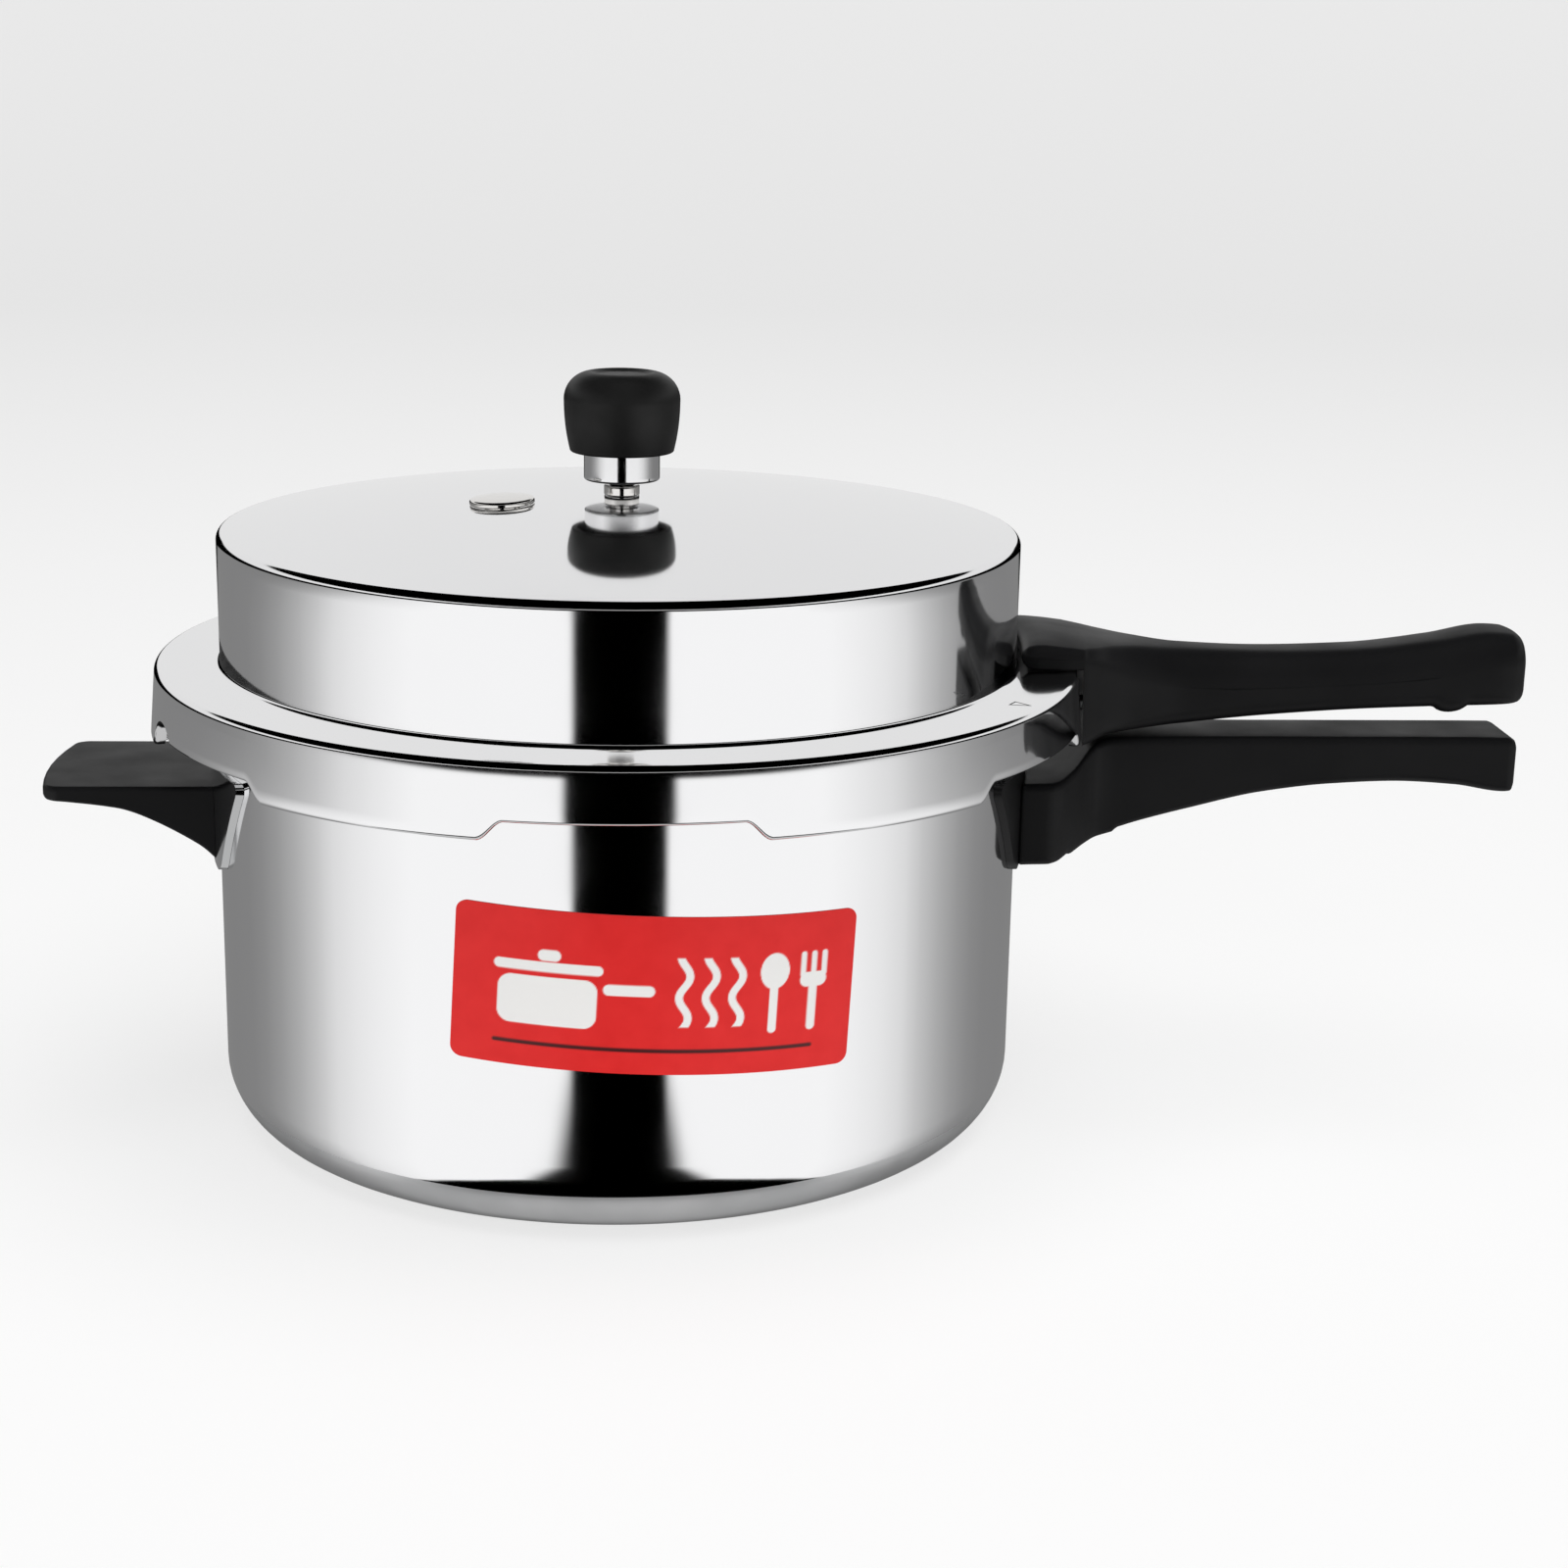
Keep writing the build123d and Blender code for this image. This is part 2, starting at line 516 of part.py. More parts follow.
def lid_bracket():
    """Plate bent round the skirt, with a tongue for the lid handle's screw."""
    outer = LID_BRACKET_R + BRACKET_T
    plate = tube(LID_BRACKET_R, outer, LID_BRACKET_LOW_Z, LID_BRACKET_TOP_Z)
    plate = plate & block(0, outer + 5, LID_BRACKET_HALF, 0, FLANGE_Z)
    tongue = block(LID_BRACKET_R + BRACKET_T / 2, SKIRT_FOOT_R + LID_TONGUE_REACH, TONGUE_HALF,
                   LID_TONGUE_Z, LID_TONGUE_Z + TONGUE_T)
    bracket = plate + tongue
    bracket -= Pos(LID_SCREW_X, 0, 0) * rod(SCREW_R + FIT, LID_TONGUE_Z - 1, LID_TONGUE_Z + TONGUE_T + 1)
    for angle in lid_rivet_angles():
        bracket -= radial_rod(RIVET_R + FIT, LID_BRACKET_R - 1, outer + 1, angle, LID_RIVET_Z)
    return bracket


def lid_rivets():
    """Two rivets that end flush inside the skirt, clear of the rim's lugs."""
    outside = LID_BRACKET_R + BRACKET_T
    rivets = []
    for angle in lid_rivet_angles():
        shank = radial_rod(RIVET_R, SKIRT_FOOT_R - LID_T - 0.4, outside + 0.5, angle, LID_RIVET_Z)
        head = radial_rod(RIVET_HEAD_R, outside + CLOSE, outside + RIVET_HEAD_H, angle, LID_RIVET_Z)
        rivets.append(shank + head)
    return Compound(children=rivets)


def lid_handle_seat():
    """The space that flange, skirt, bracket and rivets take from the lid handle."""
    seat = rod(SKIRT_FOOT_R + LID_HANDLE_GAP, 0, FLANGE_Z + LID_HANDLE_GAP)
    foot_r = DRUM_R + DRUM_FOOT_R + RUN
    foot_top = FLANGE_Z + DRUM_FOOT_R + RUN
    seat += turned(closed((0, FLANGE_Z), (foot_r, FLANGE_Z), (DRUM_R + RUN, foot_top), (0, foot_top)))
    pocket_r = LID_BRACKET_R + BRACKET_T + FIT
    pocket = rod(pocket_r, LID_BRACKET_LOW_Z - 10, LID_BRACKET_TOP_Z + FIT)
    seat += pocket & block(0, pocket_r + 5, LID_BRACKET_HALF + FIT, 0, FLANGE_Z)
    for angle in lid_rivet_angles():
        seat += radial_rod(RIVET_HEAD_R + FIT, DRUM_R + 5, pocket_r + RIVET_HEAD_H, angle, LID_RIVET_Z)
    slot = block(SKIRT_FOOT_R, SKIRT_FOOT_R + LID_TONGUE_REACH + FIT, TONGUE_HALF + FIT,
                 LID_TONGUE_Z - FIT, LID_TONGUE_Z + TONGUE_T + FIT)
    return seat + slot


def lid_handle():
    """Long upper grip: a wide saddle over flange and skirt that runs out to a waisted, upswept grip."""
    end = DRUM_R + 1.3
    tip = end + LID_HANDLE_LENGTH
    base = FLANGE_Z
    half = LID_HANDLE_HALF
    stations = [
        (end, half * 0.80, base - 20.5, base + 6.0, 3.5),
        (end + 1.6, half * 0.94, base - 21.8, base + 9.4, 4),
        (end + 5.5, half, base - 22.5, base + 11.4, 4),
        (end + 17.7, half * 0.98, base - 22.5, base + 9.4, 4),
        (end + 24.7, half * 0.82, base - 20.6, base + 7.6, 4.5),
        (end + 33.7, half * 0.66, base - 19.9, base + 5.7, 5),
        (end + 48.7, half * 0.55, base - 18.6, base + 3.6, 5.5),
        (end + 73.7, half * 0.515, base - 16.3, base + 2.7, 6),
        (tip - 52.0, half * 0.52, base - 14.5, base + 3.4, 6),
        (tip - 27.0, half * 0.555, base - 13.3, base + 6.2, 6),
        (tip - 10.0, half * 0.58, base - 12.6, base + 9.1, 6),
        (tip - 3.8, half * 0.555, base - 12.2, base + 8.5, 6),
        (tip - 0.9, half * 0.47, base - 11.0, base + 5.0, 5),
        (tip, half * 0.35, base - 8.5, base + 1.0, 4),
    ]
    handle = lofted_grip(stations)
    rest_bump = Pos(tip - 23, 0, base - 12.6) * Box(10, 14, 4)
    handle += fillet(rest_bump.edges(), 1.2)
    handle -= lid_handle_seat()
    return handle - screw_pocket(LID_SCREW_X, LID_SCREW_HEAD_Z, LID_TONGUE_Z + TONGUE_T + 4)


# ---- Sealing ring ----
def gasket():
    """Rubber ring with a groove on its inside, which the steam pressure spreads against rim and flange."""
    low = RIM_TOP_Z + RING_GAP
    high = FLANGE_Z - LID_T - RING_GAP
    middle = (low + high) / 2
    lip = (high - low) / 3
    groove_r = RING_IN_R + 0.45 * (RING_OUT_R - RING_IN_R)
    outline = closed(
        (RING_IN_R, low), (RING_OUT_R, low), (RING_OUT_R, high), (RING_IN_R, high),
        (RING_IN_R, high - lip), (groove_r, middle + 0.3), (groove_r, middle - 0.3), (RING_IN_R, low + lip),
    )
    return turned(outline)


# ---- Regulator weight ----
def weight_body():
    """Turned steel weight with a socket that drops over the vent tube and a threaded stud for the knob."""
    groove_r = WEIGHT_SOCKET_R + 2 * CLIP_WIRE_R
    groove_high = CLIP_Z + CLIP_WIRE_R + FIT
    groove_low = CLIP_Z - CLIP_WIRE_R - FIT
    outline = closed(
        (0, WEIGHT_SOCKET_TOP_Z), (WEIGHT_SOCKET_R, WEIGHT_SOCKET_TOP_Z), (WEIGHT_SOCKET_R, groove_high),
        (groove_r, groove_high), (groove_r, groove_low), (WEIGHT_SOCKET_R, groove_low),
        (WEIGHT_SOCKET_R, WEIGHT_BOTTOM_Z), (WEIGHT_R - 0.5, WEIGHT_BOTTOM_Z),
        (WEIGHT_R, WEIGHT_BOTTOM_Z + 0.5), (WEIGHT_R, WEIGHT_TOP_Z), (WEIGHT_STUD_R, WEIGHT_TOP_Z),
        (WEIGHT_STUD_R, WEIGHT_STUD_TOP_Z), (0, WEIGHT_STUD_TOP_Z),
    )
    return turned(outline) - rod(NEEDLE_SHANK_R, WEIGHT_SOCKET_TOP_Z - 1, WEIGHT_SOCKET_TOP_Z + 6)


def weight_clip():
    """Spring-wire ring in the socket's groove that keeps the weight on the vent tube."""
    ring_r = WEIGHT_SOCKET_R + 0.45
    ring = Pos(0, 0, CLIP_Z) * Torus(ring_r, CLIP_WIRE_R)
    return ring - Pos(ring_r, 0, CLIP_Z) * Box(4, 2.5, 3)


def weight_needle():
    """Pin pressed into the weight, whose cone closes the vent tube."""
    shank_low = WEIGHT_SOCKET_TOP_Z - CLOSE
    shank_top = WEIGHT_SOCKET_TOP_Z + 5.9
    return turned(closed(
        (0, VENT_TOP_Z - 2.0), (0.5, VENT_TOP_Z - 1.6), (NEEDLE_R, VENT_TOP_Z + 0.35),
        (NEEDLE_R, shank_low), (NEEDLE_SHANK_R - CLOSE, shank_low),
        (NEEDLE_SHANK_R - CLOSE, shank_top), (0, shank_top),
    ))


def weight_knob():
    """Moulded knob, widest near its shoulder, dished on top and hollow below around the weight."""
    shoulder_z = KNOB_TOP_Z - KNOB_SHOULDER_H
    waist_r = KNOB_FOOT_R + 0.72 * (KNOB_R - KNOB_FOOT_R)
    corner_r = KNOB_DISH_R + cos(radians(45)) * (KNOB_R - KNOB_DISH_R)
    corner_z = shoulder_z + sin(radians(45)) * KNOB_SHOULDER_H
    dish_z = KNOB_TOP_Z - KNOB_DISH_DEPTH
    hollow_top = WEIGHT_TOP_Z + CLOSE
    hollow_foot_r = KNOB_HOLLOW_R + 0.4
    stud_r = WEIGHT_STUD_R + FIT
    stud_top = WEIGHT_STUD_TOP_Z + FIT
    outline = make_face(Curve() + [
        ThreePointArc((KNOB_FOOT_R, KNOB_BOTTOM_Z), (waist_r, (KNOB_BOTTOM_Z + shoulder_z) / 2),
                      (KNOB_R, shoulder_z)),
        ThreePointArc((KNOB_R, shoulder_z), (corner_r, corner_z), (KNOB_DISH_R, KNOB_TOP_Z)),
        Line((KNOB_DISH_R, KNOB_TOP_Z), (KNOB_DISH_R - 2.2, dish_z)),
        Line((KNOB_DISH_R - 2.2, dish_z), (0, dish_z)),
        Line((0, dish_z), (0, stud_top)),
        Line((0, stud_top), (stud_r, stud_top)),
        Line((stud_r, stud_top), (stud_r, hollow_top)),
        Line((stud_r, hollow_top), (KNOB_HOLLOW_R, hollow_top)),
        Line((KNOB_HOLLOW_R, hollow_top), (hollow_foot_r, KNOB_BOTTOM_Z)),
        Line((hollow_foot_r, KNOB_BOTTOM_Z), (KNOB_FOOT_R, KNOB_BOTTOM_Z)),
    ])
    return turned(outline)


# ---- Label ----
def label():
    """Thin printed film on the front of the vessel, with rounded corners and a slight tilt."""
    sheet = tube(POT_R + 0.02, POT_R + LABEL_T, LABEL_MID_Z - 40, LABEL_MID_Z + 40)
    face = Rot(0, 0, -LABEL_TILT) * RectangleRounded(2 * LABEL_HALF_WIDTH, LABEL_HEIGHT, 3)
    window = Pos(0, 0, LABEL_MID_Z) * (Plane.XZ * extrude(face, POT_R + 10))
    return Rot(0, 0, LABEL_TURN) * (sheet & window)


def build():
    save("pot_body", pot_body())
    save("body_bracket", vessel_bracket(BODY_TONGUE_REACH, BODY_TONGUE_Z))
    save("body_bracket_rivets", vessel_rivets(0))
    save("body_handle", body_handle())
    save("body_handle_screw", clamp_screw(BODY_SCREW_X, BODY_SCREW_HEAD_Z, BODY_TONGUE_Z + TONGUE_T + 3))
    save("body_handle_washer", clamp_washer(BODY_SCREW_X, BODY_SCREW_HEAD_Z))
    save("helper_bracket", Rot(0, 0, 180) * vessel_bracket(HELPER_TONGUE_REACH, HELPER_TONGUE_Z))
    save("helper_bracket_rivets", vessel_rivets(180))
    save("helper_handle", helper_handle())
    save("helper_handle_screw",
         Rot(0, 0, 180) * clamp_screw(HELPER_SCREW_X, HELPER_SCREW_HEAD_Z, HELPER_TONGUE_Z + TONGUE_T + 1))
    save("helper_handle_washer", Rot(0, 0, 180) * clamp_washer(HELPER_SCREW_X, HELPER_SCREW_HEAD_Z))
    save("label", label())
    save("gasket", gasket())
    save("lid", lid())
    save("vent_tube", vent_tube())
    save("vent_washer", vent_washer())
    save("vent_nut", vent_nut())
    save("safety_plug", safety_plug())
    save("fusible_slug", fusible_slug())
    save("safety_plug_nut", safety_plug_nut())
    save("lid_bracket", lid_bracket())
    save("lid_bracket_rivets", lid_rivets())
    save("lid_handle", lid_handle())
    save("lid_handle_screw", clamp_screw(LID_SCREW_X, LID_SCREW_HEAD_Z, LID_TONGUE_Z + TONGUE_T + 3))
    save("lid_handle_washer", clamp_washer(LID_SCREW_X, LID_SCREW_HEAD_Z))
    save("weight_body", weight_body())
    save("weight_clip", weight_clip())
    save("weight_needle", weight_needle())
    save("weight_knob", weight_knob())


build()
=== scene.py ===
"""Looks of a stovetop pressure cooker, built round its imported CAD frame.

Metres, +Z up, origin at the centre of the flat base. The long handles point along +X and the label
faces -Y. Lengths inside the shape functions are millimetres, and piece() turns them to metres.
"""

import bpy
import numpy as np
from mathutils import Matrix, Vector


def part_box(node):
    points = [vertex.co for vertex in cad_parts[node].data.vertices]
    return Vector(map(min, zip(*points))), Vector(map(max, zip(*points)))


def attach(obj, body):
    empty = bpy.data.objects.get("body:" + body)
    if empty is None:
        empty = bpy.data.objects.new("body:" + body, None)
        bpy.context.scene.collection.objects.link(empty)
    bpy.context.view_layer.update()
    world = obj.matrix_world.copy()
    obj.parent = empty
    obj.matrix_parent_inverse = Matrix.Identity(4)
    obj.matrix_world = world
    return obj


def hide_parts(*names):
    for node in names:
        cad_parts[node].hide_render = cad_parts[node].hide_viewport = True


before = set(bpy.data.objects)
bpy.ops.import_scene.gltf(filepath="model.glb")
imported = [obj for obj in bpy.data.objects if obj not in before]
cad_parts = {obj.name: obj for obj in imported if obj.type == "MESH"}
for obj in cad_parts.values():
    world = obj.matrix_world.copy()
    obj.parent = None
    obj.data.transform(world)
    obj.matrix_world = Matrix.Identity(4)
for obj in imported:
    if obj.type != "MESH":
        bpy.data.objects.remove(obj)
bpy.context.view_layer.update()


def box_mm(node):
    """Lowest and highest corner of a CAD node, in millimetres."""
    low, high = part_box(node)
    return np.array(low) * 1000, np.array(high) * 1000


# ---- Sizes, in millimetres: outer limits from the frame, and thicknesses and angles as made ----
_, (LUG_R, _, RIM_TOP) = box_mm("pot_body")
(_, _, FOOT_LUG_Z), (SKIRT_FOOT_R, _, CROWN_Z) = box_mm("lid")
RIM_R = LUG_R - 4.6      # edge of the rim between two lugs
WALL_R = RIM_R - 8.5     # outside of the vessel's wall
WALL_T = 3.25
FLOOR_T = 4.5
BASE_CORNER_R = 18.5     # rounding from the base into the wall
BAND_TOP_Z = 13.8        # top of the machined band round the base
RIM_T = 3.5
LUG_FOOT_Z = RIM_TOP - 8.0
LUG_HALF = 12.0          # degrees
LUG_COUNT = 6
LID_T = 3.0
DRUM_R = WALL_R - 1.5
DRUM_EDGE_Z = CROWN_Z - 9.3
SKIRT_TALL = 20.0        # from the flange down to the foot, on a lug
SKIRT_SPREAD = 1.6       # how much wider the foot is than the flange
FLANGE_Z = FOOT_LUG_Z + SKIRT_TALL
FLANGE_R = SKIRT_FOOT_R - SKIRT_SPREAD
FOOT_GAP_Z = FOOT_LUG_Z + 5.0
FOOT_SLOPE = 14.0, 17.0  # degrees from a lug's middle between which the foot slopes up
TAB_R = RIM_R + 1.4      # how far in the tabs at the foot reach
TAB_T = 3.0
NOTCH_ANGLE = 200.0      # degrees, where the sealing ring can give way under the skirt
NOTCH_HALF = 11.0
NOTCH_TOP_Z = FOOT_GAP_Z + 4.1
BRACKET_R = WALL_R + 0.05
BRACKET_T = 2.0
BLOCK_R = BRACKET_R + BRACKET_T + 0.05   # where the lower grips seat on their brackets


# ---- Curves ----
def rounded_path(corners, step=2.0, arc_steps=8):
    """A line through (r, z, radius) corners, each one an arc tangent to its two sides, as an (n, 2) array.

    An arc of radius q at a corner of half-angle h starts q / tan(h) before the corner, and its points turn
    evenly round the centre at distance q / sin(h) on the corner's bisector. Straight runs are cut into
    pieces no longer than `step`.
    """
    corners = np.array(corners, float)
    places = corners[:, :2]
    runs = [places[:1]]
    for before, here, after, radius in zip(places[:-2], places[1:-1], places[2:], corners[1:-1, 2]):
        a = (before - here) / np.linalg.norm(before - here)
        b = (after - here) / np.linalg.norm(after - here)
        half = np.arccos(np.clip(a @ b, -1, 1)) / 2
        if radius <= 0:
            runs.append(here[None])
            continue
        centre = here + (a + b) / np.linalg.norm(a + b) * radius / np.sin(half)
        start = here + a * radius / np.tan(half) - centre
        end = here + b * radius / np.tan(half) - centre
        turn = np.arctan2(start[0] * end[1] - start[1] * end[0], start @ end)
        t = np.linspace(0, turn, arc_steps + 1)[:, None]
        runs.append(centre + start * np.cos(t) + np.array([-start[1], start[0]]) * np.sin(t))
    return evenly_cut(np.concatenate([*runs, places[-1:]]), step)


def evenly_cut(points, step):
    """The same line with its long runs cut into pieces no longer than `step`, and doubled points dropped."""
    gaps = np.linalg.norm(np.diff(points, axis=0), axis=1)
    points = points[np.concatenate([[True], gaps > 1e-6])]
    gaps = np.linalg.norm(np.diff(points, axis=0), axis=1)
    pieces = [np.linspace(a, b, max(1, int(np.ceil(gap / step))), endpoint=False)
              for a, b, gap in zip(points[:-1], points[1:], gaps)]
    return np.concatenate([*pieces, points[-1:]])


def arc_through(a, b, c, count):
    """Points of the circle through three points: the centre is where the chords' bisectors meet."""
    a, b, c = [np.array(p, float) for p in (a, b, c)]
    rows = 2 * np.array([b - a, c - a])
    centre = np.linalg.solve(rows, np.array([b @ b - a @ a, c @ c - a @ a]))
    angles = np.unwrap([np.arctan2(*(p - centre)[::-1]) for p in (a, b, c)])
    t = np.linspace(angles[0], angles[2], count)
    return centre + np.linalg.norm(a - centre) * np.stack([np.cos(t), np.sin(t)], 1)


def dome_line(top_z, edge_r, edge_z, count):
    """Points of a shallow spherical dome from its crown to its edge: z = top - s + sqrt(s^2 - r^2)."""
    drop = top_z - edge_z
    sphere = (edge_r ** 2 + drop ** 2) / (2 * drop)
    r = np.linspace(0, edge_r, count)
    return np.stack([r, top_z - sphere + np.sqrt(sphere ** 2 - r ** 2)], 1)


def smooth(values, low, high):
    """0 below low, 1 above high, and 3t^2 - 2t^3 between them."""
    t = np.clip((values - low) / (high - low), 0, 1)
    return t * t * (3 - 2 * t)


def flowing(table, s):
    """Columns of a table of (s, a, b, ...) read at s, by cubic pieces that don't overshoot its rows.

    A row's slope is the harmonic mean of the slopes on its two sides, or 0 where they differ in sign.
    """
    table = np.array(table, float)
    at, values = table[:, 0], table[:, 1:]
    width = np.diff(at)[:, None]
    steep = np.diff(values, axis=0) / width
    before, after = steep[:-1], steep[1:]
    same = before * after > 0
    middle = np.where(same, 2 * before * after / np.where(same, before + after, 1), 0)
    slope = np.concatenate([steep[:1], middle, steep[-1:]])
    i = np.clip(np.searchsorted(at, s, side="right") - 1, 0, len(at) - 2)
    t = ((s - at[i]) / width[i, 0])[:, None]
    w = width[i]
    start = (2 * t ** 3 - 3 * t ** 2 + 1) * values[i] + (t ** 3 - 2 * t ** 2 + t) * w * slope[i]
    end = (3 * t ** 2 - 2 * t ** 3) * values[i + 1]
    return (start + end + (t ** 3 - t ** 2) * w * slope[i + 1]).T


# ---- Meshes ----
def grid_faces(rows, columns, row_closed=False, column_closed=True):
    """Quads of a grid whose point (i, j) has index i * columns + j."""
    i, j = np.meshgrid(np.arange(rows if row_closed else rows - 1),
                       np.arange(columns if column_closed else columns - 1), indexing="ij")
    i, j = i.ravel(), j.ravel()
    i2, j2 = (i + 1) % rows, (j + 1) % columns
    return np.stack([i * columns + j, i * columns + j2, i2 * columns + j2, i2 * columns + j], 1)


def capped_faces(rows, columns):
    """Quads of `rows` closed rings, with a fan to one point before them and one point after them."""
    j = np.arange(columns)
    k = (j + 1) % columns
    last = 1 + rows * columns
    first_fan = np.stack([0 * j, k + 1, j + 1], 1)
    last_fan = np.stack([0 * j + last, last - columns + j, last - columns + k], 1)
    return [first_fan, grid_faces(rows, columns) + 1, last_fan]


def piece(name, points, faces, body, materials, replaced=(), face_material=None, sharp=32.0):
    """A mesh object from points in millimetres, smooth but for edges over `sharp` degrees.

    The faces are wound to point outwards: the sum of p0 . (p1 x p2) over their triangles is six times the
    volume inside, so a negative sum turns every face round.
    """
    points = np.asarray(points, float) / 1000
    volume = 0.0
    for group in faces:
        for k in range(1, group.shape[1] - 1):
            a, b, c = points[group[:, 0]], points[group[:, k]], points[group[:, k + 1]]
            volume += (a * np.cross(b, c)).sum()
    order = slice(None, None, -1) if volume < 0 else slice(None)
    mesh = bpy.data.meshes.new(name)
    mesh.from_pydata(points.tolist(), [], [f for group in faces for f in group[:, order].tolist()])
    for material in materials:
        mesh.materials.append(material)
    mesh.polygons.foreach_set("use_smooth", np.ones(len(mesh.polygons), bool))
    if face_material is not None:
        mesh.polygons.foreach_set("material_index", np.asarray(face_material, np.int32))
    mesh.update()
    mesh.set_sharp_from_angle(angle=float(np.radians(sharp)))
    shown = bpy.data.objects.new(name, mesh)
    bpy.context.scene.collection.objects.link(shown)
    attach(shown, body)
    if replaced:
        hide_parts(*replaced)
    return shown


def round_rows(radius, height, angles):
    """Points of turned rows: (i, j) is at angles[j] degrees, radius[i, j] from the axis, at height[i, j]."""
    turn = np.radians(angles)[None, :]
    return np.stack([radius * np.cos(turn), radius * np.sin(turn), height + 0 * turn], -1).reshape(-1, 3)


def turned(name, outline, body, material, replaced=(), columns=96, place=None, sharp=32.0):
    """A turned piece: each outline point (r, z) is spun round +Z.

    An outline whose ends lie on the axis closes in two points there, and any other closes on itself.
    """
    angles = np.arange(columns) * 360 / columns
    on_axis = outline[0, 0] < 1e-6
    ring = outline[1:-1] if on_axis else outline[:-1]
    points = round_rows(ring[:, :1], ring[:, 1:], angles)
    if on_axis:
        points = np.concatenate([[[0, 0, outline[0, 1]]], points, [[0, 0, outline[-1, 1]]]])
        faces = capped_faces(len(ring), columns)
    else:
        faces = [grid_faces(len(ring), columns, row_closed=True)]
    if place is not None:
        points = points @ place[:3, :3].T + place[:3, 3]
    return piece(name, points, faces, body, [material], replaced, sharp=sharp)


def plate(name, front, back, body, materials, replaced):
    """A thin closed plate between two grids of points of the same size, joined round their borders."""
    rows, columns = front.shape[:2]
    step = rows * columns
    flat = grid_faces(rows, columns, column_closed=False)
    index = np.arange(step).reshape(rows, columns)
    border = np.concatenate([index[0, :-1], index[:-1, -1], index[-1, :0:-1], index[:0:-1, 0]])
    after = np.roll(border, -1)
    side = np.stack([border, border + step, after + step, after], 1)
    points = np.concatenate([front.reshape(-1, 3), back.reshape(-1, 3)])
    faces = [flat, flat[:, ::-1] + step, side]
    return piece(name, points, faces, body, materials, replaced)


# ---- Materials ----
def linear(hex_colour):
    """An sRGB hex colour as linear RGBA."""
    srgb = np.array([int(hex_colour[i:i + 2], 16) for i in (1, 3, 5)]) / 255
    rgb = np.where(srgb <= 0.04045, srgb / 12.92, ((srgb + 0.055) / 1.055) ** 2.4)
    return (*[float(c) for c in rgb], 1.0)


def add(tree, kind, inputs=None, out=0, stops=(), **settings):
    """Adds a node and gives its output `out`.

    `settings` are the node's properties, `stops` a ramp's (place, grey or colour) pairs, and `inputs` gives
    each socket by name or number a value, or another node's output to link.
    """
    node = tree.nodes.new("ShaderNode" + kind)
    for key, value in settings.items():
        setattr(node, key, value)
    for index, (at, colour) in enumerate(stops):
        elements = node.color_ramp.elements
        element = elements[index] if index < 2 else elements.new(1.0)
        element.position = at
        element.color = (colour, colour, colour, 1) if np.isscalar(colour) else colour
    for key, value in (inputs or {}).items():
        if isinstance(value, bpy.types.NodeSocket):
            tree.links.new(value, node.inputs[key])
        else:
            node.inputs[key].default_value = value
    return node.outputs[out]


def finish_material(name, colour, patches=None, rough=None, grain=None, **sockets):
    """A Principled material on Object coordinates, which are metres.

    `patches` is (size, dark, light) of slow colour change, `rough` is (size, low, high) of slow roughness
    change, and `grain` is (size, stretch, depth) of fine bumps: sizes and depth in millimetres. The rest are
    the shader's own sockets.
    """
    material = bpy.data.materials.new(name)
    material.use_nodes = True
    tree = material.node_tree
    shader = tree.nodes["Principled BSDF"]
    shader.inputs["Base Color"].default_value = linear(colour)
    for key, value in sockets.items():
        shader.inputs[key.replace("_", " ")].default_value = value
    place = add(tree, "TexCoord", out="Object")
    if patches:
        size, dark, light = patches
        cloud = add(tree, "TexNoise", {"Vector": place, "Scale": 1000 / size, "Detail": 3.0})
        shade = add(tree, "ValToRGB", {"Fac": cloud}, stops=[(0.32, linear(dark)), (0.68, linear(light))])
        tree.links.new(shade, shader.inputs["Base Color"])
    if rough:
        size, low, high = rough
        cloud = add(tree, "TexNoise", {"Vector": place, "Scale": 1000 / size, "Detail": 4.0})
        level = add(tree, "MapRange", {"Value": cloud, "From Min": 0.3, "From Max": 0.7,
                                       "To Min": low, "To Max": high})
        tree.links.new(level, shader.inputs["Roughness"])
    if grain:
        size, stretch, depth = grain
        along = add(tree, "Mapping", {"Vector": place, "Scale": stretch})
        bumps = add(tree, "TexNoise", {"Vector": along, "Scale": 1000 / size, "Detail": 2.0})
        normal = add(tree, "Bump", {"Height": bumps, "Strength": 1.0, "Distance": depth / 1000})
        tree.links.new(normal, shader.inputs["Normal"])
    return material


# Pressed and spun aluminium, buffed to a mirror: bright, with only a trace of haze from the wheel.
MIRROR = finish_material("buffed_mirror_aluminium", "#F5F5F6", rough=(28, 0.05, 0.085), Metallic=1.0)
# The base after its facing cut: satin, with concentric tool lines that smear light across them.
FACED = finish_material("faced_satin_aluminium", "#E6E6E7", patches=(30, "#DEDFE0", "#EFEFF0"),
                        rough=(12, 0.30, 0.40), grain=(0.5, (0.05, 0.05, 1), 0.002), Metallic=1.0)
# Insides, left as spun and pressed: an oxide bloom scatters most of the light over the metal, so much of the
# colour is diffuse, and the spinning lines are about a millimetre apart.
SPUN_INSIDE = finish_material("spun_satin_aluminium", "#E4E5E6", rough=(25, 0.40, 0.50),
                              grain=(1.0, (0.03, 0.03, 1), 0.0012), Metallic=0.25)
# Bent strip, polished flat before it was bent: a little hazier than the vessel.
STRIP = finish_material("polished_strip_aluminium", "#E4E5E6", rough=(15, 0.06, 0.12), Metallic=1.0)
# Soft aluminium rivets, peened: small dull dents in a bright head.
RIVET = finish_material("peened_rivet_aluminium", "#D2D4D6", rough=(3, 0.22, 0.38),
                        grain=(1.2, (1, 1, 1), 0.02), Metallic=1.0)
